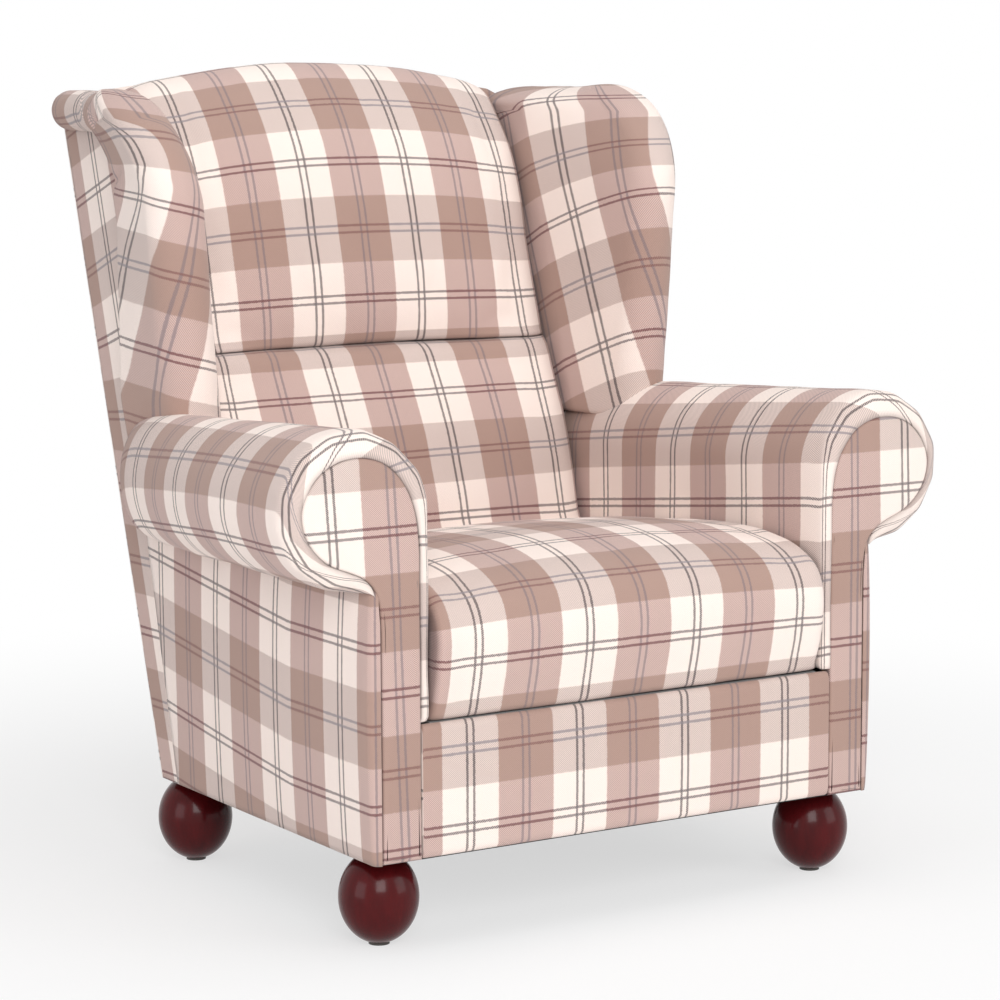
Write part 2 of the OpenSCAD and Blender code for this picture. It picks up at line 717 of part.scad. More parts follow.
border_proud = 2;
border_z = foot_h;
module front_border() {
    color(plaid) translate([-facing_in_x + gap, facing_y - border_proud, border_z])
        cube([2 * (facing_in_x - gap), cloth_t, border_top_z - border_z]);
}
module border_foam() {
    y = facing_y - border_proud + cloth_t + gap;
    color(foam) translate([-facing_in_x + gap, y, rail_z])
        cube([2 * (facing_in_x - gap), frame_y - gap - y, deck_z - rail_z]);
}

// Seat springs: zigzag wires from the front rail to the rear rail, a felt over them
spring_count = 5;
spring_turns = 9;
spring_wire_d = 3.6;
spring_half_w = 24;
spring_sides = 6;
spring_steps = 4;
spring_y0 = frame_y + board_t / 2;
spring_y1 = rear_rail_y + board_t / 2;
spring_z = deck_z + spring_wire_d;
function spring_x(i) = mix(-arm_in_x, arm_in_x, (i + 1 / 2) / spring_count);
function spring_at(t) = [spring_half_w * sin(360 * t * spring_turns), mix(spring_y0, spring_y1, t), spring_z];
function spring_ring(t, step) =
    let (
        p = spring_at(t), q = spring_at(min(1, t + step)) - spring_at(max(0, t - step)),
        side = [q[1], -q[0], 0] / norm([q[0], q[1]]), r = spring_wire_d / 2
    )
    [for (i = sides(spring_sides)) let (a = 360 * i / spring_sides)
        p + side * r * cos(a) + [0, 0, r * sin(a)]];
module seat_springs() {
    rings = 2 * spring_steps * spring_turns;
    color(steel) for (i = sides(spring_count)) translate([spring_x(i), 0, 0])
        loft([for (j = [0 : rings]) spring_ring(j / rings, 1 / rings / 2)]);
}
clip_w = 16;
clip_l = 18;
clip_t = 1.5;
module clip(y) {
    translate([-clip_w / 2, y - clip_l / 2, deck_z]) difference() {
        cube([clip_w, clip_l, spring_wire_d * 3 / 2 + clip_t + gap]);
        translate([-cut, clip_t, (spring_wire_d - gap) / 2])
            cube([clip_w + 2 * cut, clip_l, spring_wire_d + 2 * gap]);
    }
}
module spring_clips() {
    color(steel) for (i = sides(spring_count)) translate([spring_x(i), 0, 0]) {
        clip(spring_y0);
        translate([0, 2 * spring_y1, 0]) mirror([0, 1, 0]) clip(spring_y1);
    }
}
insulator_z = spring_z + spring_wire_d * 3 / 2;
module spring_insulator() {
    color("gray") translate([-arm_in_x + seat_slot, frame_y, insulator_z])
        cube([2 * (arm_in_x - seat_slot), rear_rail_y - frame_y, crease_z - gap - insulator_z]);
}

front_rail();
rear_rail();
side_rail_left();
side_rail_right();
corner_blocks();
corner_screws();
arm_scroll_board_left();
arm_scroll_board_right();
arm_rail_left();
arm_rail_right();
arm_former_left();
arm_former_right();
back_post_left();
back_post_right();
back_top_rail();
back_tuck_rail();
back_bottom_rail();
wing_board_left();
wing_board_right();
seat_springs();
spring_clips();
spring_insulator();
back_webbing();
seat_foam();
border_foam();
back_foam_lower();
back_foam_upper();
arm_foam_left();
arm_foam_right();
wing_foam_left();
wing_foam_right();
seat_cover();
front_border();
back_cover_lower();
back_cover_upper();
arm_cover_left();
arm_cover_right();
arm_front_panel_left();
arm_front_panel_right();
wing_cover_left();
wing_cover_right();
outside_arm_left();
outside_arm_right();
outside_wing_left();
outside_wing_right();
outside_back();
dust_cover();
foot_front_left();
foot_front_right();
foot_rear_left();
foot_rear_right();
foot_bolts();
foot_tee_nuts();
foot_glides();
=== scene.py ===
import math
import bpy
import bmesh
import numpy as np
from mathutils import Matrix, Vector, noise


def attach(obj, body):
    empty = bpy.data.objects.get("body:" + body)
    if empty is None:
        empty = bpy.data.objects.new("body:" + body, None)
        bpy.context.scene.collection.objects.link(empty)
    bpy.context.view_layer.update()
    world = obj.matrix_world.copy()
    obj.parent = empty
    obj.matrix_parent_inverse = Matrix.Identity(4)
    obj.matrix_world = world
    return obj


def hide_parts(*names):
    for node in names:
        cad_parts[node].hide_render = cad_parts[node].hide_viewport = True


# A fireside wing chair in check cloth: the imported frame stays, everything soft is made here.
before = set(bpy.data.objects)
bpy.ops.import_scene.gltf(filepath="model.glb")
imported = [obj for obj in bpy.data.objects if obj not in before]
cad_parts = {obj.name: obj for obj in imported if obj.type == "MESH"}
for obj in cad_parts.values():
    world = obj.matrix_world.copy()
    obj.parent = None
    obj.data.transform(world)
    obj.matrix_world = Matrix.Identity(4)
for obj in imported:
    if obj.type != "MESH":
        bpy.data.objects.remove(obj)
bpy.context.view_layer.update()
print("frame loaded,", len(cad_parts), "nodes")

# the chair's own sizes, as the frame has them
chair = dict(
    sideX=0.370, armInX=0.2926, facingY=-0.421, bandY=-0.424, bandRound=0.025,
    footTop=0.114, railZ=0.1155, armRailZ=0.437, rearTop=1.045, rearEdge=0.440, rake=17.3,
    armLow=0.2799, armFrontTop=0.637, armRearTop=0.603, rollFront=0.097, rollRear=0.084,
    scrollZ=0.525, armEnd=0.1985, armRound=0.122, junctionX=0.3723, postDeep=0.058,
)
rakeAngle = math.radians(chair["rake"])
rakeTan = math.tan(rakeAngle)
bothSides = ((-1, "left"), (1, "right"))


def rearY(z):
    # the back's raked plane
    return chair["rearEdge"] - (chair["rearTop"] - z) * rakeTan


def mix(a, b, t):
    return a + (b - a) * t


def ease(t):
    t = np.clip(t, 0.0, 1.0)
    return t * t * (3 - 2 * t)


def quarterArc(t):
    # 0 to 1 along a quarter circle, flat at its start and upright at its end
    return 1 - math.sqrt(max(0.0, 1 - t * t))


def unit(vectors):
    return vectors / np.maximum(np.linalg.norm(vectors, axis=1), 1e-9)[:, None]


# ---- points and skins

def runOf(points):
    # how far along the line each point lies
    p = np.asarray(points, float)
    return np.r_[0, np.cumsum(np.linalg.norm(np.diff(p, axis=0), axis=1))]


def runRound(ring):
    return runOf(np.vstack([ring, ring[:1]]))


def evenly(points, count):
    p = np.asarray(points, float)
    run = runOf(p)
    at = np.linspace(0, run[-1], count)
    return np.stack([np.interp(at, run, p[:, k]) for k in range(p.shape[1])], 1)


def acrossPad(flat, edge, turn, step):
    # places across a pad: even over the flat part, by angle round both edges
    side = edge * np.sin(turn)
    return np.r_[-(flat + side[::-1]), np.linspace(-flat, flat, int(2 * flat / step)), flat + side]


def smoothLine(points):
    # a soft curve through the points, in sixteen steps from one to the next
    p = np.asarray(points, float)
    d = np.maximum(np.linalg.norm(np.diff(p, axis=0), axis=1), 1e-6)
    slope = np.diff(p, axis=0) / d[:, None]
    inner = (slope[:-1] * d[1:, None] + slope[1:] * d[:-1, None]) / (d[:-1] + d[1:])[:, None]
    m = np.vstack([slope[:1], inner, slope[-1:]])
    t = np.linspace(0, 1, 17)[:-1, None]
    out = [
        (2 * t ** 3 - 3 * t ** 2 + 1) * p[i] + (t ** 3 - 2 * t ** 2 + t) * d[i] * m[i]
        + (3 * t ** 2 - 2 * t ** 3) * p[i + 1] + (t ** 3 - t ** 2) * d[i] * m[i + 1]
        for i in range(len(d))
    ]
    return np.vstack(out + [p[-1:]])


def skin(name, rows, cloth, closed=True, ends=True, endCloth=None):
    # rows of points become quads; cloth holds each point's place on the cloth, in metres
    rows = np.asarray(rows, float)
    cloth = np.asarray(cloth, float)
    n, m = rows.shape[:2]
    verts = [tuple(v) for v in rows.reshape(-1, 3)]
    faces, places = [], []
    endCloth = endCloth or (lambda p: (p[0], p[2]))
    for i in range(n - 1):
        for j in range(m if closed else m - 1):
            k = (j + 1) % m
            faces.append((i * m + j, i * m + k, (i + 1) * m + k, (i + 1) * m + j))
            places += [cloth[i, j], cloth[i, j + 1], cloth[i + 1, j + 1], cloth[i + 1, j]]
    if closed == "strip":
        # a long thin section: its ends close from wall to wall
        for side in (0, n - 1):
            for j in range(m // 2 - 1):
                faces.append(tuple(side * m + q for q in (j, j + 1, m - 2 - j, m - 1 - j)))
                places += [endCloth(verts[q]) for q in faces[-1]]
    elif closed and ends:
        # rings that shrink to a point
        for side in (0, n - 1):
            ring = [side * m + j for j in range(m)]
            middle = rows[side].mean(0)
            for share in (0.7, 0.35):
                start = len(verts)
                verts += [tuple(mix(middle, rows[side, j], share)) for j in range(m)]
                for j in range(m):
                    k = (j + 1) % m
                    faces.append((ring[j], ring[k], start + k, start + j))
                    places += [endCloth(verts[q]) for q in faces[-1]]
                ring = [start + j for j in range(m)]
            verts.append(tuple(middle))
            for j in range(m):
                faces.append((ring[j], ring[(j + 1) % m], len(verts) - 1))
                places += [endCloth(verts[q]) for q in faces[-1]]
    mesh = bpy.data.meshes.new(name)
    mesh.from_pydata(verts, [], faces)
    layer = mesh.uv_layers.new(name="clothUV")
    layer.data.foreach_set("uv", np.asarray(places, np.float32).reshape(-1))
    mesh.validate()
    mesh.shade_smooth()
    piece = bpy.data.objects.new(name, mesh)
    bpy.context.scene.collection.objects.link(piece)
    if closed:
        turnOut(piece)
    return piece


def turnOut(piece):
    b = bmesh.new()
    b.from_mesh(piece.data)
    bmesh.ops.recalc_face_normals(b, faces=b.faces)
    b.to_mesh(piece.data)
    b.free()


def flipSide(piece):
    # the same piece on the chair's other side
    b = bmesh.new()
    b.from_mesh(piece.data)
    bmesh.ops.transform(b, matrix=Matrix.Diagonal((-1, 1, 1, 1)), verts=b.verts)
    bmesh.ops.reverse_faces(b, faces=b.faces)
    b.to_mesh(piece.data)
    b.free()


def softenBy(piece, depth, size, seed):
    # gentle unevenness of stuffed cloth, along the surface's own direction
    mesh = piece.data
    count = len(mesh.vertices)
    co = np.empty(count * 3)
    no = np.empty(count * 3)
    mesh.vertices.foreach_get("co", co)
    mesh.vertex_normals.foreach_get("vector", no)
    co, no = co.reshape(-1, 3), no.reshape(-1, 3)
    lift = np.array([noise.noise(Vector(p) / size + Vector((seed, seed * 0.7, -seed))) for p in co])
    lift += 0.5 * np.array([noise.noise(Vector(p) / size * 2.3 + Vector((-seed, 3.1, seed))) for p in co])
    co += no * (lift * depth)[:, None]
    mesh.vertices.foreach_set("co", co.reshape(-1))
    mesh.update()


def shadeSeam(piece, values):
    # 0 to 1 at each point: how deep it lies in a seam, where painted shade darkens the cloth
    values = np.asarray(values, np.float32).reshape(-1)
    full = np.zeros(len(piece.data.vertices), np.float32)
    full[:len(values)] = values
    layer = piece.data.attributes.new("seamShade", "FLOAT", "POINT")
    layer.data.foreach_set("value", full)


def addModifier(piece, name, kind, **values):
    modifier = piece.modifiers.new(name, kind)
    for key, value in values.items():
        setattr(modifier, key, value)


stuffing = dict(pressure=3.6, shrink=-0.02, frames=20, stretch=15, shear=5, bend=0.4, farthest=2.2)


def stuff(piece, free, inset):
    # the cover is set a little in, then pressed out by its stuffing while its seams hold it
    mesh = piece.data
    count = len(mesh.vertices)
    free = np.r_[np.asarray(free, float).reshape(-1), np.zeros(count)][:count]
    rest, normal = np.empty(count * 3), np.empty(count * 3)
    mesh.vertices.foreach_get("co", rest)
    mesh.vertex_normals.foreach_get("vector", normal)
    rest, normal = rest.reshape(-1, 3), normal.reshape(-1, 3)
    start = rest - normal * (free * inset)[:, None]
    mesh.vertices.foreach_set("co", start.reshape(-1))
    group = piece.vertex_groups.new(name="seams")
    for i in range(count):
        group.add([i], 1 - free[i], "REPLACE")
    cloth = piece.modifiers.new("stuffing", "CLOTH")
    c = cloth.settings
    c.vertex_group_mass = "seams"
    c.quality, c.mass = 5, 0.3
    c.tension_stiffness, c.compression_stiffness = stuffing["stretch"], stuffing["stretch"]
    c.shear_stiffness, c.bending_stiffness = stuffing["shear"], stuffing["bend"]
    c.use_pressure, c.uniform_pressure_force = True, stuffing["pressure"]
    c.shrink_min = stuffing["shrink"]
    c.effector_weights.gravity = 0
    cloth.collision_settings.use_collision = False
    cloth.point_cache.frame_end = stuffing["frames"]
    for moment in range(1, stuffing["frames"] + 1):
        bpy.context.scene.frame_set(moment)
    filled = piece.evaluated_get(bpy.context.evaluated_depsgraph_get())
    end = np.empty(count * 3)
    filled.data.vertices.foreach_get("co", end)
    piece.modifiers.remove(cloth)
    piece.vertex_groups.remove(group)
    bpy.context.scene.frame_set(1)
    # every run swells by the inset, whatever the pressure gave, and no point goes far beyond it
    move = end.reshape(-1, 3) - start
    far = np.linalg.norm(move, axis=1)
    typical = float(np.median(far[free > 0.6]))
    move *= min(1.0, inset / max(typical, 1e-6))
    far = np.linalg.norm(move, axis=1)
    move *= np.minimum(1, stuffing["farthest"] * inset / np.maximum(far, 1e-9))[:, None]
    mesh.vertices.foreach_set("co", (start + move * free[:, None] ** 0.5).reshape(-1))
    mesh.update()
    print(piece.name, "stuffed, swelled by", round(typical * 1000, 1), "mm")


# ---- materials

def link(tree, a, b):
    tree.links.new(a, b)


def calc(tree, kind, a, b=None, c=None):
    node = tree.nodes.new("ShaderNodeMath")
    node.operation = kind
    for i, value in enumerate((a, b, c)):
        if value is None:
            continue
        if isinstance(value, (int, float)):
            node.inputs[i].default_value = value
        else:
            link(tree, value, node.inputs[i])
    return node.outputs[0]


def within(tree, value, half, soft):
    # 1 where value is under half, 0 beyond it, with a soft edge
    node = tree.nodes.new("ShaderNodeMapRange")
    node.interpolation_type = "SMOOTHSTEP"
    node.inputs["From Min"].default_value = half + soft
    node.inputs["From Max"].default_value = half - soft
    link(tree, value, node.inputs["Value"])
    return node.outputs["Result"]


def blendColour(tree, share, a, b, kind="MIX"):
    node = tree.nodes.new("ShaderNodeMix")
    node.data_type = "RGBA"
    node.blend_type = kind
    for socket, value in ((node.inputs["Factor"], share), (node.inputs[6], a), (node.inputs[7], b)):
        if isinstance(value, (int, float)):
            socket.default_value = value
        elif isinstance(value, tuple):
            socket.default_value = (*value, 1)
        else:
            link(tree, value, socket)
    return node.outputs[2]


def srgb(r, g, b):
    shares = [v / 255 for v in (r, g, b)]
    return tuple(v / 12.92 if v <= 0.04045 else ((v + 0.055) / 1.055) ** 2.4 for v in shares)


def mixColours(a, b, t):
    return tuple(mix(p, q, t) for p, q in zip(a, b))


def newMaterial(name, **values):
    material = bpy.data.materials.new(name)
    material.use_nodes = True
    shader = material.node_tree.nodes["Principled BSDF"]
    for key, value in values.items():
        shader.inputs[key].default_value = value
    return material, material.node_tree, shader


def noiseNode(tree, vector, scale, detail=2.0, rough=0.5):
    node = tree.nodes.new("ShaderNodeTexNoise")
    node.inputs["Scale"].default_value = scale
    node.inputs["Detail"].default_value = detail
    node.inputs["Roughness"].default_value = rough
    link(tree, vector, node.inputs["Vector"])
    return node.outputs["Fac"]


def bumpNode(tree, height, strength, distance, shader):
    node = tree.nodes.new("ShaderNodeBump")
    node.inputs["Strength"].default_value = strength
    node.inputs["Distance"].default_value = distance
    link(tree, height, node.inputs["Height"])
    link(tree, node.outputs["Normal"], shader.inputs["Normal"])


# sizes of the check in metres; the two-colour names say warp and weft of where they cross
clothLook = dict(
    warpRepeat=0.164, weftRepeat=0.194, creamWeft=0.0505, linePlace=0.0049, lineHalf=0.0017, lineSoft=0.0005,
    edge=0.0011, twill=0.0026, wobbleScale=260.0, wobble=0.0016, fleckScale=900.0, fleck=0.36,
    taupeLine=0.68, creamLine=0.95, creamRowLine=0.95, brownRowLine=0.80, seamShadeDepth=0.8,
    creamCream=srgb(247, 231, 222), creamTaupe=srgb(198, 170, 162), brownCream=srgb(210, 191, 183),
    brownTaupe=srgb(172, 142, 130), charcoal=srgb(60, 49, 53), blueGrey=srgb(112, 103, 112),
    maroon=srgb(104, 52, 58), darkGrey=srgb(82, 70, 74), brownMaroon=srgb(118, 74, 72),
    # seam: the dark colour of the painted shade laid into seams, creases and turned-under ends
    coolGrey=srgb(124, 117, 125), seam=srgb(64, 44, 44),
)


def makeCheckCloth(look):
    material, tree, shader = newMaterial("checkCloth", Roughness=0.88)
    shader.inputs["Sheen Weight"].default_value = 0.18
    shader.inputs["Sheen Roughness"].default_value = 0.6
    shader.inputs["Specular IOR Level"].default_value = 0.2
    place = tree.nodes.new("ShaderNodeUVMap")
    place.uv_map = "clothUV"
    split = tree.nodes.new("ShaderNodeSeparateXYZ")
    link(tree, place.outputs["UV"], split.inputs[0])
    u, v = split.outputs["X"], split.outputs["Y"]
    wobble = noiseNode(tree, place.outputs["UV"], look["wobbleScale"], 1.0)
    wobble = calc(tree, "MULTIPLY", calc(tree, "SUBTRACT", wobble, 0.5), look["wobble"])
    uu, vv = calc(tree, "ADD", u, wobble), calc(tree, "SUBTRACT", v, wobble)

    def fromCentre(value, repeat):
        # distance from the nearest band centre, 0 to half a repeat
        turn = calc(tree, "FRACT", calc(tree, "ADD", calc(tree, "DIVIDE", value, repeat), 0.5))
        return calc(tree, "MULTIPLY", calc(tree, "ABSOLUTE", calc(tree, "SUBTRACT", turn, 0.5)), repeat)

    warp = fromCentre(uu, look["warpRepeat"])
    weft = fromCentre(vv, look["weftRepeat"])
    warpBack = calc(tree, "SUBTRACT", look["warpRepeat"] / 2, warp)
    weftBack = calc(tree, "SUBTRACT", look["weftRepeat"] / 2, weft)
    taupe = within(tree, warp, look["warpRepeat"] / 4, look["edge"])
    cream = within(tree, weft, look["creamWeft"], look["edge"])
    # twill: yarns step over each other on a diagonal
    slant = calc(tree, "DIVIDE", calc(tree, "ADD", u, v), look["twill"])
    cross = calc(tree, "DIVIDE", calc(tree, "SUBTRACT", u, v), look["twill"])
    step = calc(tree, "SINE", calc(tree, "MULTIPLY", slant, math.tau))
    yarn = calc(tree, "SINE", calc(tree, "MULTIPLY", cross, math.tau))
    fleck = noiseNode(tree, place.outputs["UV"], look["fleckScale"], 2.0, 0.7)
    onTop = calc(tree, "MULTIPLY_ADD", step, 0.5, 0.5)

    creamRow = blendColour(tree, taupe, look["creamCream"], look["creamTaupe"])
    brownRow = blendColour(tree, taupe, look["brownCream"], look["brownTaupe"])
    colour = blendColour(tree, cream, brownRow, creamRow)

    def doubleLine(value, share):
        # two thin lines either side of the band's centre, broken by the twill
        away = calc(tree, "ABSOLUTE", calc(tree, "SUBTRACT", value, look["linePlace"]))
        line = within(tree, away, look["lineHalf"], look["lineSoft"])
        return calc(tree, "MULTIPLY", line, calc(tree, "MULTIPLY_ADD", onTop, share * 0.85, share * 0.32))

    colour = blendColour(tree, doubleLine(warp, look["taupeLine"]), colour, look["blueGrey"])
    colour = blendColour(tree, doubleLine(warpBack, look["creamLine"]), colour, look["charcoal"])
    overCream = blendColour(tree, taupe, look["darkGrey"], look["maroon"])
    overBrown = blendColour(tree, taupe, look["coolGrey"], look["brownMaroon"])
    colour = blendColour(tree, doubleLine(weft, look["creamRowLine"]), colour, overCream)
    colour = blendColour(tree, doubleLine(weftBack, look["brownRowLine"]), colour, overBrown)

    # where the two yarns differ the diagonal shows more
    mixed = calc(tree, "ABSOLUTE", calc(tree, "SUBTRACT", cream, calc(tree, "SUBTRACT", 1.0, taupe)))
    depth = calc(tree, "MULTIPLY_ADD", mixed, 0.24, 0.07)
    shade = calc(tree, "MULTIPLY_ADD", step, depth, 1.0)
    speck = calc(tree, "MULTIPLY", calc(tree, "SUBTRACT", fleck, 0.5), look["fleck"])
    shade = calc(tree, "ADD", shade, speck)
    grey = tree.nodes.new("ShaderNodeCombineColor")
    for socket in grey.inputs[:3]:
        link(tree, shade, socket)
    colour = blendColour(tree, 1.0, colour, grey.outputs[0], "MULTIPLY")
    # painted shade: the seamShade attribute pulls the cloth toward the seam colour where parts meet, fold in
    # and turn under
    seam = tree.nodes.new("ShaderNodeAttribute")
    seam.attribute_name = "seamShade"
    seamShadeShare = calc(tree, "MULTIPLY", seam.outputs["Fac"], look["seamShadeDepth"])
    colour = blendColour(tree, seamShadeShare, colour, look["seam"])
    link(tree, colour, shader.inputs["Base Color"])
    height = calc(tree, "ADD", calc(tree, "MULTIPLY", step, 0.5), calc(tree, "MULTIPLY", yarn, 0.2))
    height = calc(tree, "ADD", height, calc(tree, "MULTIPLY", fleck, 0.8))
    bumpNode(tree, height, 0.35, 0.0005, shader)
    return material


def makeWood(name, light, dark, grain):
    material, tree, shader = newMaterial(name, Roughness=0.62)
    place = tree.nodes.new("ShaderNodeTexCoord")
    turn = tree.nodes.new("ShaderNodeMapping")
    turn.inputs["Scale"].default_value = grain
    link(tree, place.outputs["Object"], turn.inputs["Vector"])
    fine = noiseNode(tree, turn.outputs["Vector"], 6.0, 6.0, 0.65)
    broad = noiseNode(tree, turn.outputs["Vector"], 1.3, 2.0)
    colour = blendColour(tree, fine, light, dark)
    colour = blendColour(tree, calc(tree, "MULTIPLY", broad, 0.5), colour, mixColours(light, dark, 0.8))
    link(tree, colour, shader.inputs["Base Color"])
    link(tree, calc(tree, "MULTIPLY_ADD", fine, 0.2, 0.5), shader.inputs["Roughness"])
    bumpNode(tree, fine, 0.25, 0.0006, shader)
    return material


def makeLacquer():
    material, tree, shader = newMaterial("footLacquer", Roughness=0.24)
    shader.inputs["Specular IOR Level"].default_value = 0.12
    shader.inputs["Coat Weight"].default_value = 0.12
    shader.inputs["Coat Roughness"].default_value = 0.08
    place = tree.nodes.new("ShaderNodeTexCoord")
    turn = tree.nodes.new("ShaderNodeMapping")
    turn.inputs["Scale"].default_value = (14, 14, 3)
    link(tree, place.outputs["Object"], turn.inputs["Vector"])
    grain = noiseNode(tree, turn.outputs["Vector"], 5.0, 5.0, 0.6)
    colour = blendColour(tree, grain, srgb(52, 10, 12), srgb(92, 17, 20))
    link(tree, colour, shader.inputs["Base Color"])
    wear = noiseNode(tree, place.outputs["Object"], 60.0, 3.0)
    link(tree, calc(tree, "MULTIPLY_ADD", wear, 0.12, 0.18), shader.inputs["Roughness"])
    bumpNode(tree, grain, 0.06, 0.0004, shader)
    return material


def makeSpeckled(name, colour, other, scale, rough, bump, metal=0.0):
    material, tree, shader = newMaterial(name, Roughness=rough, Metallic=metal)
    place = tree.nodes.new("ShaderNodeTexCoord")
    speck = noiseNode(tree, place.outputs["Object"], scale, 4.0, 0.65)
    link(tree, blendColour(tree, speck, colour, other), shader.inputs["Base Color"])
    link(tree, calc(tree, "MULTIPLY_ADD", speck, 0.16, rough - 0.08), shader.inputs["Roughness"])
    bumpNode(tree, speck, bump, 0.0008, shader)
    return material


def makeWebbing():
    material, tree, shader = newMaterial("webbingWeave", Roughness=0.8)
    place = tree.nodes.new("ShaderNodeTexCoord")
    split = tree.nodes.new("ShaderNodeSeparateXYZ")
    link(tree, place.outputs["Object"], split.inputs[0])
    threadPitch = 0.004
    across = calc(tree, "SINE", calc(tree, "MULTIPLY", split.outputs["X"], math.tau / threadPitch))
    along = calc(tree, "SINE", calc(tree, "MULTIPLY", split.outputs["Z"], math.tau / threadPitch))
    weave = calc(tree, "MULTIPLY_ADD", calc(tree, "MULTIPLY", across, along), 0.5, 0.5)
    link(tree, blendColour(tree, weave, srgb(88, 78, 58), srgb(140, 126, 96)), shader.inputs["Base Color"])
    bumpNode(tree, weave, 0.4, 0.0006, shader)
    return material


checkCloth = makeCheckCloth(clothLook)
frameWood = makeWood("sawnBeech", srgb(206, 176, 134), srgb(168, 132, 92), (18, 18, 3))
formerBoard = makeWood("bentHardboard", srgb(150, 118, 84), srgb(112, 84, 56), (40, 40, 40))
footLacquer = makeLacquer()
springSteel = makeSpeckled("springSteel", (0.56, 0.56, 0.57), (0.42, 0.42, 0.44), 180.0, 0.38, 0.1, 1.0)
feltGrey = makeSpeckled("feltGrey", srgb(150, 150, 148), srgb(104, 104, 106), 420.0, 0.95, 0.6)
webbingWeave = makeWebbing()
glideNylon = makeSpeckled("glideNylon", srgb(72, 68, 64), srgb(58, 55, 52), 260.0, 0.5, 0.12)
dustCloth = makeSpeckled("dustCloth", srgb(48, 47, 47), srgb(30, 30, 31), 900.0, 0.92, 0.5)
print("materials made")

slotLooks = {
    "frame_wood": frameWood, "former_board": formerBoard, "foot_lacquer": footLacquer, "steel": springSteel,
    "felt": feltGrey, "webbing": webbingWeave, "glide_plastic": glideNylon, "dust_cloth": dustCloth,
    "check_cloth": checkCloth,
}
keptNodes = {
    "frame_wood": ["front_rail", "rear_rail", "side_rail_left", "side_rail_right", "corner_blocks",
                   "arm_scroll_board_left", "arm_scroll_board_right", "arm_rail_left", "arm_rail_right",
                   "back_post_left", "back_post_right", "back_top_rail", "back_tuck_rail", "back_bottom_rail",
                   "wing_board_left", "wing_board_right"],
    "former_board": ["arm_former_left", "arm_former_right"],
    "steel": ["seat_springs", "spring_clips", "corner_screws", "foot_bolts", "foot_tee_nuts"],
    "felt": ["spring_insulator"],
    "webbing": ["back_webbing"],
    "glide_plastic": ["foot_glides"],
}
for slotName, names in keptNodes.items():
    for nodeName in names:
        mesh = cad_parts[nodeName].data
        mesh.materials.clear()
        mesh.materials.append(slotLooks[slotName])
print("frame finished")


def finishPiece(piece, nodes, slotName="check_cloth", levels=1):
    piece.data.materials.clear()
    piece.data.materials.append(slotLooks[slotName])
    if levels:
        addModifier(piece, "smooth", "SUBSURF", levels=levels, render_levels=levels,
                    uv_smooth="PRESERVE_BOUNDARIES")
    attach(piece, "root")
    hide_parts(*nodes)
    return piece


# ---- seat

seat = dict(
    halfWide=0.2920, endRound=0.017, crown=0.013, crownZ=0.33, inset=0.004, step=0.009, baseZ=0.2795,
    seamZ=0.2820, endShade=0.9, seamShade=0.35, maroonRun=0.0745, stretch=1.025, aside=0.0076,
    front=[(-0.4165, 0.2796), (-0.4265, 0.302), (-0.4345, 0.331), (-0.438, 0.357), (-0.4395, 0.382),
           (-0.436, 0.407), (-0.428, 0.425), (-0.415, 0.4385), (-0.397, 0.4485), (-0.371, 0.4572),
           (-0.343, 0.462), (-0.309, 0.465), (-0.268, 0.466), (-0.20, 0.4635), (-0.12, 0.456),
           (-0.04, 0.444), (0.03, 0.431), (0.085, 0.4195)],
    rear=[(0.098, 0.412), (0.1005, 0.400), (0.085, 0.355), (0.0600, 0.283)],
)


def makeSeat(s):
    profile = smoothLine(s["front"] + s["rear"])
    shownCount = int(runOf(profile)[-1] / s["step"])
    profile = evenly(profile, shownCount)
    base = evenly([profile[-1], (0.0, s["baseZ"]), (-0.2, s["baseZ"]), profile[0]], 40)[1:-1]
    ring = np.vstack([profile, base])
    y, z = ring[:, 0], ring[:, 1]
    # inward direction of the outline, for rounding the ends
    along = np.roll(ring, -1, 0) - np.roll(ring, 1, 0)
    inward = unit(np.stack([along[:, 1], -along[:, 0]], 1))
    if ((ring.mean(0) - ring) * inward).sum() < 0:
        inward = -inward
    flat = s["halfWide"] - s["endRound"]
    xs = acrossPad(flat, s["endRound"], np.radians(np.linspace(0, 88, 7))[1:], s["step"])
    run = runRound(ring)
    rows, cloth = [], []
    for x in xs:
        draw = s["endRound"] * quarterArc(max(0.0, (abs(x) - flat) / s["endRound"]))
        fall = s["crown"] * (x / s["halfWide"]) ** 2 * ease((z - s["crownZ"]) / 0.12)
        pinch = draw * np.where(z < 0.285, 0.15, 1.0)
        p = ring + inward * pinch[:, None]
        rows.append(np.stack([np.full(len(ring), x), p[:, 0], p[:, 1] - fall], 1))
        cloth.append(np.stack([np.full(len(run), x * s["stretch"] - s["aside"]), run - s["maroonRun"]], 1))
    piece = skin("seatCushion", rows, cloth, endCloth=lambda p: (p[1], p[2]))
    # painted shade along the seam on the border and where the ends turn under the arms
    low = s["seamShade"] * ease((s["seamZ"] - z) / 0.003)
    ends = s["endShade"] * ease((np.abs(xs) - flat - 0.55 * s["endRound"]) / (0.4 * s["endRound"]))
    shadeSeam(piece, np.maximum(low[None, :], ends[:, None]))
    shown = np.where(np.arange(len(ring)) < shownCount, 1.0, 0.0)
    shown = shown * ease((z - 0.283) / 0.03) * ease((0.085 - y) / 0.03)
    stuff(piece, [shown * ease((flat + 0.004 - abs(x)) / 0.03) for x in xs], s["inset"])
    return piece


seatCushion = makeSeat(seat)
softenBy(seatCushion, 0.0016, 0.11, 2.0)
finishPiece(seatCushion, ["seat_foam", "seat_cover"])
print("seat made")


# ---- front border under the seat

border = dict(
    halfWide=0.3050, low=0.1145, high=0.2792, faceY=-0.4235, backY=-0.4145, roundEdge=0.0035, maroonZ=0.1475,
    swell=0.003, stretch=1.043, aside=0.0035,
)


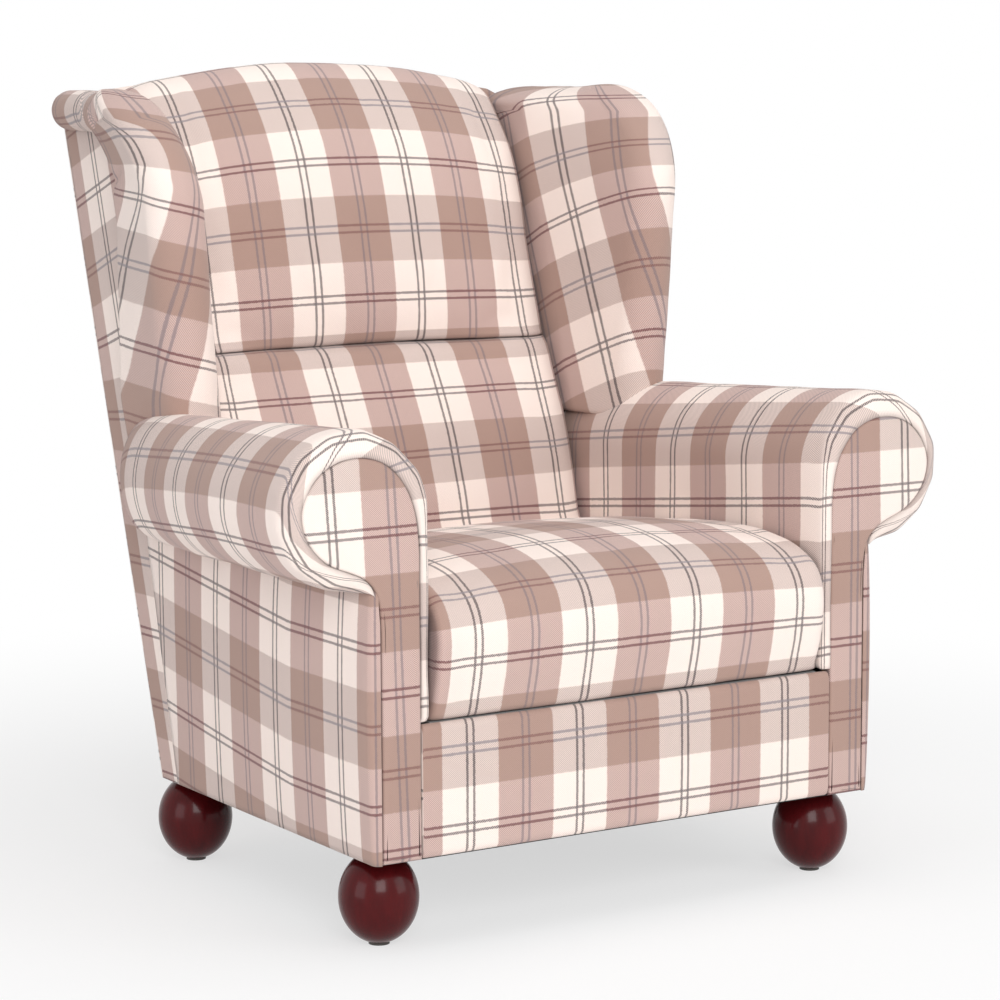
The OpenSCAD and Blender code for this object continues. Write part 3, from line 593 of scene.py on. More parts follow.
def makeBorder(b):
    tall = b["high"] - b["low"]
    front = []
    for z in np.linspace(b["low"], b["high"], 30):
        nearEdge = max(0, 1 - min(z - b["low"], b["high"] - z) / b["roundEdge"])
        front.append((b["faceY"] + b["roundEdge"] * quarterArc(nearEdge), z))
    behind = evenly([front[-1], (b["backY"], b["high"]), (b["backY"], b["low"]), front[0]], 30)[1:-1]
    ring = np.vstack([front, behind])
    onFace = np.where(ring[:, 0] < b["backY"] - 0.002, 1, 0)
    upFace = np.sin(np.pi * np.clip((ring[:, 1] - b["low"]) / tall, 0, 1)) ** 0.6
    run = runRound(ring)
    inner = b["halfWide"] - 0.002
    rows, cloth = [], []
    for x in np.r_[-b["halfWide"], np.linspace(-inner, inner, 72), b["halfWide"]]:
        bow = b["swell"] * (1 - (x / b["halfWide"]) ** 4) * onFace * upFace
        rows.append(np.stack([np.full(len(ring), x), ring[:, 0] - bow, ring[:, 1]], 1))
        v = run + b["low"] - b["maroonZ"]
        cloth.append(np.stack([np.full(len(run), x * b["stretch"] + b["aside"]), v], 1))
    return skin("frontBorder", rows, cloth, endCloth=lambda p: (p[1], p[2]))


frontBorder = makeBorder(border)
finishPiece(frontBorder, ["front_border", "border_foam"])
print("border made")


# ---- back pads, upper and lower, with the sewn tuck between them

backTop = [(0.294, 0.968), (0.310, 0.992), (0.328, 1.015), (0.346, 1.036), (0.365, 1.051), (0.386, 1.059),
           (0.406, 1.0595), (0.423, 1.053), (0.4345, 1.038), (0.4345, 1.020)]
back = dict(
    halfWide=0.2921, sideAt=0.249, inset=0.004, edgeWide=0.050, edgeFall=0.040, edgeStretch=1.15, arch=0.034,
    topZ=1.0600, crestZ=1.0595, tuckZ=0.6700, hideZ=0.990, lowZ=0.307, step=0.009,
    tuckShade=0.3, sideShade=0.8, maroonRun=0.187, lowerRun=0.090, lowerPlace=0.388, stretch=1.08,
    upperMiddle=[(0.2330, 0.6705), (0.226, 0.679), (0.220, 0.693), (0.218, 0.715), (0.222, 0.742),
                 (0.227, 0.770), (0.238, 0.812), (0.253, 0.867), (0.2665, 0.911), (0.278, 0.940)] + backTop,
    upperSide=[(0.2050, 0.6705), (0.2095, 0.679), (0.2130, 0.693), (0.2185, 0.715), (0.2265, 0.742),
               (0.2345, 0.770), (0.246, 0.812), (0.2575, 0.867), (0.2700, 0.911), (0.280, 0.940)] + backTop,
    lowerMiddle=[(0.066, 0.310), (0.074, 0.335), (0.095, 0.395), (0.113, 0.432), (0.118, 0.457),
                 (0.131, 0.497), (0.149, 0.552), (0.172, 0.599), (0.191, 0.632), (0.212, 0.661),
                 (0.2325, 0.6695)],
    lowerSide=[(0.066, 0.310), (0.074, 0.335), (0.095, 0.395), (0.112, 0.428), (0.119, 0.458), (0.130, 0.500),
               (0.146, 0.550), (0.167, 0.598), (0.181, 0.632), (0.196, 0.661), (0.2050, 0.6695)],
)


def makeBackPad(name, b, upper):
    part = "upper" if upper else "lower"
    mid, edge = smoothLine(b[part + "Middle"]), smoothLine(b[part + "Side"])
    count = int(runOf(mid)[-1] / b["step"])
    # both outlines are read at the same shares of their own point lists
    fineKeys = np.linspace(0, 1, len(mid))
    pace = np.interp(np.linspace(0, 1, count), runOf(mid) / runOf(mid)[-1], fineKeys)
    mid = np.stack([np.interp(pace, fineKeys, mid[:, k]) for k in (0, 1)], 1)
    edge = np.stack([np.interp(pace, np.linspace(0, 1, len(edge)), edge[:, k]) for k in (0, 1)], 1)
    flat = b["halfWide"] - b["edgeWide"]
    xs = acrossPad(flat, b["edgeWide"], np.radians(np.linspace(0, 90, 9))[1:], b["step"])
    run = runOf(mid)
    tuckBack = rearY(b["tuckZ"]) - chair["postDeep"]
    rows, cloth = [], []
    for x in xs:
        line = mix(mid, edge, min(1.0, abs(x) / b["sideAt"]) ** 2)
        over = abs(x) - flat
        fall = b["edgeFall"] * quarterArc(max(0.0, over / b["edgeWide"]))
        y, z = line[:, 0], line[:, 1]
        if upper:
            tall = (b["topZ"] - b["arch"] * (x / b["halfWide"]) ** 2 - b["tuckZ"]) / (b["topZ"] - b["tuckZ"])
            z = b["tuckZ"] + 0.0002 + (z - b["tuckZ"] - 0.0005) * tall
            y = y + fall * ease((0.415 - y) / 0.10)
            z = z - 0.012 * (fall / b["edgeFall"]) * ease((z - 0.97) / 0.06)
            y = np.minimum(y, rearY(z) - 0.0045)
            hideY = rearY(b["hideZ"])
            hidden = [(hideY - 0.006, b["hideZ"]), (hideY - 0.057, b["hideZ"] - 0.001),
                      (tuckBack, b["tuckZ"] + 0.0006)]
        else:
            y = y + fall
            lowBack = rearY(b["lowZ"] + 0.001) - chair["postDeep"]
            hidden = [(tuckBack, b["tuckZ"] - 0.0006), (lowBack, b["lowZ"])]
        front = np.stack([y, z], 1)
        behind = evenly(np.vstack([front[-1:], hidden, front[:1]]), 44)[1:-1]
        ring = np.vstack([front, behind])
        rows.append(np.stack([np.full(len(ring), x), ring[:, 0], ring[:, 1]], 1))
        u = x
        if over > 0:
            bend = b["edgeWide"] * b["edgeStretch"] * math.asin(min(1, over / b["edgeWide"]))
            u = math.copysign(flat + bend, x)
        if upper:
            crest = np.argmax(line[:, 1]) + 1
            v = np.interp(b["crestZ"], line[:crest, 1], run[:crest]) - run - b["maroonRun"]
        else:
            v = b["lowerPlace"] + (run[-1] - run - b["lowerRun"]) * b["stretch"]
        ringRun = np.r_[v, v[-1] - runOf(np.vstack([front[-1:], behind, front[:1]]))[1:]]
        cloth.append(np.stack([np.full(len(ringRun), u), -ringRun], 1))
    piece = skin(name, rows, cloth, endCloth=lambda p: (p[1], p[2]))
    # free on the face, held at the tuck, down the sides and where it is hidden
    heldTop = 0.06 if upper else 0.0
    face = ease(run / 0.03) * ease((run[-1] - run - heldTop) / 0.06)
    shown = np.zeros((len(xs), len(ring)))
    shown[:, :count] = face * ease((flat + 0.6 * b["edgeWide"] - np.abs(xs)) / 0.04)[:, None]
    stuff(piece, shown, b["inset"])
    # painted shade along the tuck and down the sides where the pad turns back toward the wings
    seam = np.zeros((len(xs), len(ring)))
    seam[:, :count] = b["tuckShade"] * (1 - ease((run if upper else run[-1] - run) / 0.006))
    sides = b["sideShade"] * ease((np.abs(xs) - flat - 0.88 * b["edgeWide"]) / (0.1 * b["edgeWide"]))
    shadeSeam(piece, np.maximum(seam, sides[:, None]))
    return piece


backPadUpper = makeBackPad("backPadUpper", back, True)
backPadLower = makeBackPad("backPadLower", back, False)
for piece, part, seed in ((backPadUpper, "upper", 5.0), (backPadLower, "lower", 9.0)):
    softenBy(piece, 0.0018, 0.12, seed)
    finishPiece(piece, ["back_foam_" + part, "back_cover_" + part])
print("back made")


# ---- arms: the roll with its band on the front, and the scroll-shaped front panel

facing = dict(
    innerX=0.3055, outerX=0.3598,
    scroll=[(0.3056, 0.490), (0.3066, 0.505), (0.3090, 0.525), (0.3140, 0.545), (0.322, 0.563),
            (0.333, 0.579), (0.345, 0.590), (0.358, 0.598), (0.373, 0.6025), (0.389, 0.6045), (0.405, 0.603),
            (0.421, 0.598), (0.435, 0.591), (0.447, 0.580), (0.457, 0.566), (0.463, 0.551), (0.4645, 0.538),
            (0.462, 0.523), (0.456, 0.509), (0.447, 0.496), (0.434, 0.4845), (0.418, 0.4755), (0.402, 0.4695),
            (0.388, 0.4635), (0.377, 0.456), (0.369, 0.447), (0.3640, 0.436)],
    # how far in from the outline and how far back, from the hidden edge to the front
    profile=[(0.0, 0.006), (0.0, 0.003), (0.0003, 0.0008), (0.0009, -0.0006), (0.0020, -0.0016),
             (0.0036, -0.0023), (0.0056, -0.0027)],
    # painted shade for each ring, deepest at the hidden edge where the panel meets the arm's band
    seamShade=[0.9, 0.9, 0.85, 0.5, 0.12, 0.0, 0.0],
    # where the taupe line stands at each height
    lean=dict(
        left=([0.12, 0.30, 0.42, 0.457, 0.50, 0.55, 0.585],
              [-0.329, -0.3335, -0.338, -0.3394, -0.3405, -0.3442, -0.3468]),
        right=([0.12, 0.42, 0.46, 0.50, 0.54, 0.577], [0.344, 0.3447, 0.3450, 0.3452, 0.3438, 0.3418]),
    ),
    maroonZ=dict(left=0.1267, right=0.1210),
)
arm = dict(
    thick=0.020, facets=13, foldDeep=0.0030, foldBack=0.060, tightLow=0.30, wallY=0.0150,
    lipOut=[0.001, 0.002, 0.0032],
    narrow=0.29, narrowFrom=0.27, narrowLong=0.53, endSquash=0.36, lowPoints=20, arcPoints=64, crownAt=40,
    taupeY=-0.007, readY=-0.2, clothStart=0.3695, tilt=0.117, seamShade=[0.9, 0.75, 0.35],
)


def armPath(y, a):
    # the arm's section: up its inner side and round the roll; it narrows and sinks toward its rear end
    t = (max(y, chair["facingY"]) - chair["facingY"]) / (chair["armEnd"] - chair["facingY"])
    r = mix(chair["rollFront"], chair["rollRear"], t)
    cx = chair["armInX"] + r
    cz = mix(chair["armFrontTop"], chair["armRearTop"], t) - r
    last = -90 - math.degrees(math.asin(max(-1, min(1, (cx - chair["junctionX"]) / r))))
    late = min(1.0, max(0.0, (y - chair["armEnd"] + chair["armRound"]) / chair["armRound"]))
    fullness = math.sqrt(max(0.0, 1 - late * late))
    taper = 1 - a["narrow"] * min(1.0, max(0.0, (t - a["narrowFrom"]) / a["narrowLong"])) ** 1.5
    low = evenly([(chair["armInX"], chair["armLow"]), (chair["armInX"], cz)], a["lowPoints"])[:-1]
    angle = np.radians(np.linspace(180, last, a["arcPoints"]))
    x = cx + r * np.cos(angle)
    z = cz + r * np.sin(angle)
    x = np.where(np.cos(angle) > 0, mix(chair["junctionX"], x, taper * fullness), x)
    z = cz + (z - cz) * (1 - a["endSquash"] * (1 - fullness) * ease((x - 0.30) / 0.06))
    return np.vstack([low, np.stack([x, z], 1)]), np.r_[np.full(len(low), math.pi), angle]


def panelPath(a):
    # the front panel's edge, point for point beside the roll's path
    around = smoothLine([(facing["innerX"], 0.470)] + facing["scroll"])
    start = int(np.argmax(around[:, 1] > chair["scrollZ"]))
    edge = evenly(around[start:], a["arcPoints"])
    edge[-3:, 0] += a["lipOut"]
    low = np.vstack([[(facing["innerX"], chair["armLow"])], around[:start], edge[:1]])
    return np.vstack([evenly(low, a["lowPoints"])[:-1], edge])


def armStations():
    # each ring's depth, and how far the band has turned on to the front there
    bandY, bandRound = chair["bandY"], chair["bandRound"]
    stations = [(bandY + 0.0085, 1.04), (bandY + 0.0030, 1.03)]
    for turn in (90, 75, 60, 45, 30, 15):
        c = math.radians(turn)
        stations.append((bandY + bandRound * (1 - math.sin(c)), 1 - math.cos(c)))
    stations += [(y, 0.0) for y in np.linspace(bandY + bandRound, chair["armEnd"] - chair["armRound"], 56)]
    for turn in (15, 30, 45, 58, 70, 80, 86):
        along = math.sin(math.radians(turn)) * 0.998
        stations.append((chair["armEnd"] - chair["armRound"] * (1 - along), 0.0))
    return stations


def makeArm(name, a, side):
    rows, cloth = [], []
    panel = panelPath(a)
    bandY = chair["bandY"]
    clothRun = 0.0
    for y, front in armStations():
        outer, angle = armPath(y, a)
        outer = mix(outer, panel, front)
        # the band goes round the scroll in short straight lengths
        near = ease((bandY + a["foldBack"] - y) / a["foldBack"]) * (1 - 0.75 * min(1.0, front))
        part = math.tau / a["facets"]
        ripple = (1 / np.cos(((angle + 0.2) % part) - part / 2) - 1) / (1 / math.cos(part / 2) - 1) - 0.4
        swing = ease((math.pi - 0.1 - angle) / 0.4) * near * a["foldDeep"]
        away = unit(outer - outer[a["lowPoints"] - 1:].mean(0))
        outer = outer + away * (ripple * swing)[:, None]
        # hidden inner wall
        tangent = np.gradient(outer, axis=0)
        inward = unit(np.stack([tangent[:, 1], -tangent[:, 0]], 1))
        inner = (outer + inward * a["thick"] * (0.5 if y < bandY + 0.02 else 1.0))[::-1]
        ring = np.vstack([outer, inner])
        # low on the turn the band is drawn tight
        tight = 1.0
        if y < bandY + chair["bandRound"] + 0.001:
            tight = mix(a["tightLow"], 1.0, ease((math.pi - angle) / 1.0))
        outerY = bandY + (y - bandY) * np.ones(len(outer)) * tight
        innerY = np.full(len(inner), max(y, bandY + a["wallY"]))
        points = np.stack([ring[:, 0], np.r_[outerY, innerY], ring[:, 1]], 1)
        if rows:
            clothRun += np.linalg.norm(points[a["crownAt"]] - rows[-1][a["crownAt"]])
        rows.append(points)
        v = a["clothStart"] - runRound(ring) - a["tilt"] * (y + 0.04)
        cloth.append(np.stack([np.full(len(v), clothRun), v], 1))
    cloth = np.array(cloth)
    # line the stripes up with their measured places along the arm, behind the band's turn
    crownY = [r[a["crownAt"], 1] for r in rows[10:]]
    clothRead = np.interp(a["readY"], crownY, cloth[10:, a["crownAt"], 0])
    cloth[:, :, 0] += (a["readY"] - a["taupeY"]) - clothRead
    piece = skin(name, rows, cloth, closed="strip")
    # painted shade on the first rings, where the band turns in behind the front panel
    behindBand = [0.0] * (len(rows) - len(a["seamShade"]))
    shadeSeam(piece, np.repeat(a["seamShade"] + behindBand, len(rows[0])))
    if side < 0:
        flipSide(piece)
    return piece


for side, suffix in bothSides:
    piece = makeArm("armPad" + suffix.capitalize(), arm, side)
    softenBy(piece, 0.0015, 0.10, 3.0 if side < 0 else 12.0)
    finishPiece(piece, ["arm_cover_" + suffix, "arm_foam_" + suffix])


def facingOutline(count):
    # up the inner edge, round the scroll and down the outer edge
    bottom = chair["footTop"] + 0.0003
    around = smoothLine([(facing["innerX"], 0.440)] + facing["scroll"] + [(facing["outerX"], 0.400)])
    outline = np.vstack([[(facing["innerX"], bottom)], around, [(facing["outerX"], bottom)]])
    return evenly(np.vstack([outline, outline[:1]]), count + 1)[:-1]


def polygonArea(p):
    q = np.roll(p, -1, 0)
    return 0.5 * float((p[:, 0] * q[:, 1] - q[:, 0] * p[:, 1]).sum())


def makeFacing(name, f, side, suffix):
    outline = facingOutline(150)
    along = np.roll(outline, -1, 0) - np.roll(outline, 1, 0)
    inward = unit(np.stack([-along[:, 1], along[:, 0]], 1))
    if polygonArea(outline) < 0:
        inward = -inward
    rows = []
    for inset, back in f["profile"]:
        p = outline + inward * inset
        rows.append(np.stack([p[:, 0], np.full(len(p), chair["facingY"] + back), p[:, 1]], 1))
    rows = np.array(rows)

    def place(x, z):
        return x * side - np.interp(z, *f["lean"][suffix]), z - f["maroonZ"][suffix]

    cloth = np.stack(place(rows[:, :, 0], rows[:, :, 2]), 2)
    cloth = np.concatenate([cloth, cloth[:, :1]], 1)
    piece = skin(name, rows, cloth, ends=False)
    # one flat face closes the front and one the back
    b = bmesh.new()
    b.from_mesh(piece.data)
    b.verts.ensure_lookup_table()
    n = len(outline)
    layer = b.loops.layers.uv["clothUV"]
    for start in (0, (len(rows) - 1) * n):
        face = b.faces.new([b.verts[start + j] for j in range(n)])
        face.smooth = True
        for corner in face.loops:
            corner[layer].uv = place(corner.vert.co.x, corner.vert.co.z)
        bmesh.ops.triangulate(b, faces=[face])
    bmesh.ops.recalc_face_normals(b, faces=b.faces)
    b.to_mesh(piece.data)
    b.free()
    # painted shade round the panel's edge
    shadeSeam(piece, np.repeat(f["seamShade"], n))
    if side < 0:
        flipSide(piece)
    return piece


for side, suffix in bothSides:
    piece = makeFacing("armFront" + suffix.capitalize(), facing, side, suffix)
    finishPiece(piece, ["arm_front_panel_" + suffix], levels=0)
print("arms made")


# ---- wings

wing = dict(
    frontY=0.0460, topZ=1.030, lowZ=0.562, cornerTall=0.160, cornerDeep=0.200, flare=0.009, rollR=0.031,
    proud=0.020, lip=0.031, hemX=0.3677, seamY=0.2443, seamH=0.110, endZ=0.9960, postTop=0.9887,
    upperPad=0.132, plump=0.0085, lean=0.0025, midX=0.353, midOut=0.031, midZ=0.603, midTall=0.427,
    # the pleat, with closer rows round it
    pleatZ=0.906, pleatRise=0.35, pleatLong=0.085, pleatDeep=0.0065, pleatTight=0.0055, fullDeep=0.0035,
    fullBelow=0.024, fullTall=0.016, fineFrom=0.872, fineTo=0.946,
    # the tube along the top edge, by depth
    tubeR=0.0275, tubeAt=(0.19, 0.25, 0.30), tubeWide=(0.034, 0.030, 0.0275), tubeTop=(1.017, 1.021, 1.0235),
    tubeX=([0.20, 0.30, 0.42], [0.3890, 0.3780, 0.3675]), tubeFrom=0.190, tubeTo=0.290, tubeDraw=0.006,
    under=[-97, -84, -70, -55, -40, -25, -10], over=[3, 12, 24, 36, 48, 60, 70, 78, 84, 88],
    wallPoints=10, hemPoints=11, flankPoints=20, rollPoints=15, facePoints=22, behindPoints=11, closePoints=6,
)
# places in a wing's ring: its seam on the outside, the start of the front roll and of the inner face
seamAt = wing["wallPoints"] + wing["hemPoints"] - 1
rollAt = seamAt + 1 + wing["flankPoints"]
faceAt = rollAt + wing["rollPoints"]


def postFront(z):
    # the back posts' front edge, deepest at the arm rail
    armRail = chair["armRailZ"]
    below = mix(0.045, 0.066, (z - chair["railZ"]) / (armRail - chair["railZ"]))
    above = mix(0.066, chair["postDeep"], (z - armRail) / (wing["postTop"] - armRail))
    return rearY(z) - np.where(z < armRail, below, above)


def wingMid(z):
    return wing["midX"] + wing["midOut"] * (z - wing["midZ"]) / wing["midTall"]


def wingSeam(z, rear):
    t = min(1.0, max(0.0, z - wing["postTop"] + wing["seamH"]) / wing["seamH"])
    return min(rear - 0.0012, mix(wing["seamY"], float(postFront(wing["postTop"])), quarterArc(t)))


def wingRing(z, above):
    w = wing
    rise = max(0.0, (z - w["topZ"] + w["cornerTall"]) / w["cornerTall"])
    front = w["frontY"] + w["cornerDeep"] * quarterArc(rise)
    flare = w["flare"] * float(ease((z - 0.87) / 0.13))
    up = max(0.0, z - w["topZ"] + w["rollR"])
    half = max(0.0006, math.sqrt(max(0.0, w["rollR"] ** 2 - up * up)))
    full = half / w["rollR"]
    plump = w["plump"] * full
    cx, cy = wingMid(z) + flare, front + half + plump
    inX = mix(cx, chair["armInX"] + 0.0006, full)
    outX = mix(cx, chair["sideX"] + w["proud"] + flare, full)
    if above:
        # over the post, right to the back
        rear = rearY(min(z, w["endZ"])) - 0.0023
        near = mix(cx, outX, 0.35)
        lip = w["lip"] * full
        outer = [(cx, rear), (near, rear)]
        for a in np.radians([15, 30, 45, 60, 75, 90]):
            outer.append((mix(near, outX, math.sin(a)), rear - lip * (1 - math.cos(a))))
    else:
        rear = float(postFront(min(z, w["postTop"]))) - 0.0006
        seam = wingSeam(z, rear)
        outer = [(w["hemX"], rear), (w["hemX"], seam), (chair["sideX"] + 0.001, seam - 0.0006),
                 (outX, seam - w["lip"])]
    wide, rollX = half + plump, cx - w["lean"] * full
    turn = np.radians(np.linspace(0, 180, w["rollPoints"]))
    roll = [(rollX + wide * math.cos(a), cy - wide * math.sin(a)) for a in turn]
    inner = [(inX, max(cy + half, rearY(z) - w["upperPad"])), (inX, rear)]
    return outer, roll, inner


def foldPleat(ring, z):
    # a fold taken up into the roll from its seam, with the stuffing full below it
    w = wing
    girth = runOf(ring) - runOf(ring)[seamAt]
    hold = np.where(girth > -0.004, 1 - ease(girth / w["pleatLong"]), 0)
    off = z - w["pleatZ"] - w["pleatRise"] * np.maximum(girth, 0)
    swell = w["fullDeep"] * np.exp(-((off + w["fullBelow"]) / w["fullTall"]) ** 2)
    lift = hold * (swell - w["pleatDeep"] * np.exp(-(off / w["pleatTight"]) ** 2))
    along = unit(np.gradient(ring, axis=0))
    return ring + np.stack([-along[:, 1], along[:, 0]], 1) * lift[:, None]


def rollTube(row, z, around):
    # the wing's top edge is a stuffed tube with a round end, hanging over the outside panel
    w = wing
    y, last = row[:, 1], row[0, 1]
    blend = ease((y - w["tubeFrom"]) / (w["tubeTo"] - w["tubeFrom"]))
    roundEnd = np.sqrt(1 - np.clip((y - last + w["tubeR"]) / w["tubeR"], 0, 1) ** 2)
    full = math.sqrt(max(0.0, 1 - max(0.0, (z - w["topZ"] + w["rollR"]) / w["rollR"]) ** 2))
    wide = np.interp(y, w["tubeAt"], w["tubeWide"])
    ridge = np.interp(y, w["tubeAt"], w["tubeTop"])
    tubeX = np.interp(y, *w["tubeX"]) - w["tubeDraw"] * (1 - roundEnd)
    part = (z - w["postTop"]) / (w["topZ"] - w["postTop"])
    centreX = wingMid(z) + w["flare"]
    row[:, 0] += (tubeX - centreX) * (1 - full) * blend
    row[:, 2] = mix(z, w["postTop"] + (ridge - w["postTop"]) * part * np.maximum(roundEnd, 0.12), blend)
    # its back wall stays behind the round end
    row[:, 0] = np.where(y > last - 0.004, np.minimum(row[:, 0], tubeX), row[:, 0])
    r = np.maximum(wide * roundEnd, 0.003)
    c = math.radians(around)
    x = np.maximum(tubeX + r * math.cos(c), chair["sideX"] + 0.0013 if around < 0 else 0)
    height = ridge - wide + r * math.sin(c)
    ramp = np.r_[np.linspace(0, 1, w["wallPoints"]) ** 2, np.ones(w["hemPoints"] + w["flankPoints"])]
    blend = ramp * blend[:rollAt]
    row[:rollAt, 0] = mix(row[:rollAt, 0], x[:rollAt], blend)
    row[:rollAt, 2] = mix(row[:rollAt, 2], height[:rollAt], blend)


def wingRow(z, above=True, around=None):
    w = wing
    outer, roll, inner = wingRing(z, above)
    wall = evenly([outer[0], outer[1]], w["wallPoints"])
    hem = evenly(outer[1:], w["hemPoints"] + 1)[1:]
    flank = evenly([outer[-1], roll[0]], w["flankPoints"] + 2)[1:-1]
    face = evenly([roll[-1], inner[0]], w["facePoints"] + 2)[1:-1]
    behind = evenly([inner[0], inner[1]], w["behindPoints"] + 1)[1:]
    close = evenly([inner[1], outer[0]], w["closePoints"] + 2)[1:-1]
    ring = foldPleat(np.vstack([wall, hem, flank, roll, face, [inner[0]], behind, close]), z)
    row = np.stack([ring[:, 0], ring[:, 1], np.full(len(ring), z)], 1)
    if around is not None:
        rollTube(row, z, around)
    return row


def wingRows():
    w = wing
    levels = np.r_[
        np.linspace(w["lowZ"], w["fineFrom"], 34),
        np.linspace(w["fineFrom"] + 0.004, w["fineTo"], 22),
        np.linspace(w["fineTo"] + 0.007, w["postTop"] + 0.0003, 5),
    ]
    rows = [wingRow(z, False) for z in levels]
    for i, a in enumerate(w["under"]):
        rows.append(wingRow(w["postTop"] + 0.0009 + 0.0011 * i, True, a))
    for a in w["over"]:
        rows.append(wingRow(w["topZ"] - w["rollR"] + w["rollR"] * math.sin(math.radians(a)), True, a))
    return np.array(rows)


def wingHeights(rows):
    # over the rounded top the cloth goes on by the surface's own length, not by its height
    level = rows[:, :, 2].copy()
    start = int(np.argmax(rows[:, faceAt + 4, 2] > wing["postTop"] + 0.0005))
    steps = np.linalg.norm(np.diff(rows[start - 1:], axis=0), axis=2)
    level[start:] = rows[start - 1, :, 2] + np.cumsum(steps, axis=0)
    return level, start


# how the check lies on the wings: three weft lines bend with depth, the charcoal line leans back as it rises
wingCheck = dict(
    top=dict(height=1.022, slope=0.0, bend=0.80, first=0.130, last=0.130),
    middle=dict(height=0.888, slope=0.174, bend=0.725, first=-0.008, last=0.101),
    low=dict(height=0.697, slope=0.3125, bend=0.52, first=-0.009, last=0.103),
    charcoalY=0.084, charcoalLean=0.402, charcoalZ=0.606, spread=([0.6, 0.75, 1.02], [0.68, 0.71, 0.785]),
    tubeWarp=0.224, tubeWeft=0.198, tubeFrom=0.15, tubeBlend=0.07,
)
# on the left wing the lines were read along the girth, from the seam round the roll
leftLines = dict(
    level=[0.580, 0.624, 0.661, 0.697, 0.742, 0.788, 0.823, 0.857, 0.898, 0.930, 0.961, 1.000],
    charcoal=[-0.160, -0.120, -0.085, -0.050, -0.006, 0.018, 0.046, 0.078, 0.122, 0.147, 0.154, 0.150],
    edge=[-0.040, 0.000, 0.033, 0.053, 0.087, 0.122, 0.147, 0.163, 0.178, 0.183, 0.190, 0.195],
    taupe=[0.098, 0.115, 0.130, 0.146, 0.164, 0.182, 0.191, 0.201, 0.213, 0.222, 0.232, 0.238],
    girth=[-0.05, 0.00, 0.049, 0.129, 0.173, 0.218, 0.247, 0.300, 0.450],
    maroon=[0.896, 0.894, 0.891, 0.888, 0.878, 0.867, 0.862, 0.850, 0.840],
    brown=[0.955, 0.960, 0.963, 0.971, 0.971, 0.966, 0.951, 0.940, 0.930],
)
warpHalf, weftHalf = clothLook["warpRepeat"] / 2, clothLook["weftRepeat"] / 2


def bentLine(y, height, slope, bend, first, last):
    return height - slope * (y - first) - bend * (y - first) * (y - last)


def wingCloth(y, z):
    z1, z2, z3 = (bentLine(y, **wingCheck[key]) for key in ("top", "middle", "low"))
    t = (z - z2) / np.maximum(z1 - z2, 0.05)
    low = (z - z2) / np.maximum(z2 - z3, 0.05)
    return np.where(z > z2, t, low) * clothLook["weftRepeat"]


def leftWingCloth(girth, z, level):
    f = leftLines
    c, e, t = (float(np.interp(level, f["level"], f[key])) for key in ("charcoal", "edge", "taupe"))
    known = [warpHalf, 1.5 * warpHalf, 2 * warpHalf, 2.5 * warpHalf, 2.5 * warpHalf + 0.445 * 0.75]
    u = np.interp(girth, [c, e, t, t + 0.055, t + 0.50], known)
    u = np.where(girth < c, warpHalf + (girth - c) * 0.6, u)
    z0, z1 = np.interp(girth, f["girth"], f["maroon"]), np.interp(girth, f["girth"], f["brown"])
    below = np.interp(z - z0, [-0.40, -0.198, -0.090, 0], [-0.392, -2 * weftHalf, -weftHalf, 0])
    v = np.where(z > z1, weftHalf + z - z1, np.where(z > z0, weftHalf * (z - z0) / (z1 - z0), below))
    return u, v


def makeWing(name, side):
    rows = wingRows()
    around = np.array([runRound(r) for r in rows])
    level, start = wingHeights(rows)
    level = np.concatenate([level, level[:, :1]], 1)
    ys = np.concatenate([rows[:, :, 1], rows[:, :1, 1]], 1)
    k = wingCheck
    v = wingCloth(ys, level)
    u = np.empty(v.shape)
    inside = slice(rollAt + 8, faceAt + wing["facePoints"])
    # along the left tube the check follows its length, then blends in over the front roll
    onTube = np.r_[np.ones(rollAt - 3), np.linspace(1, 0, 6), np.zeros(ys.shape[1] - rollAt - 3)]
    for i, r in enumerate(rows):
        z = r[faceAt + 4, 2]
        if side < 0:
            u[i], v[i] = leftWingCloth(around[i] - around[i][seamAt], level[i], z)
        else:
            # where the charcoal line crosses the inner face
            charcoalY = k["charcoalY"] + k["charcoalLean"] * (z - k["charcoalZ"])
            at = np.interp(charcoalY, r[inside, 1], around[i][inside])
            u[i] = warpHalf + (around[i] - at) * np.interp(z, *k["spread"])
        if i >= start:
            # the bands run on over the top
            climb = level[i] - level[start - 1]
            u[i], v[i] = u[start - 1], v[start - 1] + climb
            if side < 0:
                tube = onTube * ease((ys[i] - k["tubeFrom"]) / k["tubeBlend"])
                u[i] = mix(u[i], k["tubeWarp"] - ys[i], tube)
                v[i] = mix(v[i], k["tubeWeft"] + climb, tube)
    piece = skin(name, rows, np.stack([u, v], 2), endCloth=lambda p: (p[1], p[0]))
    if side < 0:
        flipSide(piece)
    return piece


for side, suffix in bothSides:
    piece = makeWing("wingPad" + suffix.capitalize(), side)
    softenBy(piece, 0.0014, 0.09, 7.0 if side < 0 else 15.0)
    finishPiece(piece, ["wing_cover_" + suffix, "wing_foam_" + suffix])
print("wings made")


# ---- outside cloths

outside = dict(
    cornerR=0.009, hemX=0.3606, puff=0.0085, lowPuff=0.45, swell=0.0012, thick=0.0018, armTop=0.4495,
    taupeY=-0.105, maroonZ=0.376, tiltFrom=-0.22, tilt=0.10,
    # the wing's cloth is laid along the raked rear edge
    wingCharcoal=0.080, wingStretch=0.95, wingMaroonZ=0.868, wingPitch=0.0937,
    wingSlope=([0.55, 0.69, 0.77, 0.90], [0.02, 0.26, 0.33, 0.31]),
    cornerDrop=0.024, cornerFrom=0.86, backMaroonRun=0.15,
)


def outsideCloth(p):
    o = outside
    y, z = p[..., 1], p[..., 2]
    y = np.where(y < chair["facingY"] + 0.004, y - (chair["sideX"] + 0.004 - np.abs(p[..., 0])), y)
    tilt = o["tilt"] * np.maximum(0, y - o["tiltFrom"])
    return np.stack([y - o["taupeY"], z - o["maroonZ"] - tilt], -1)


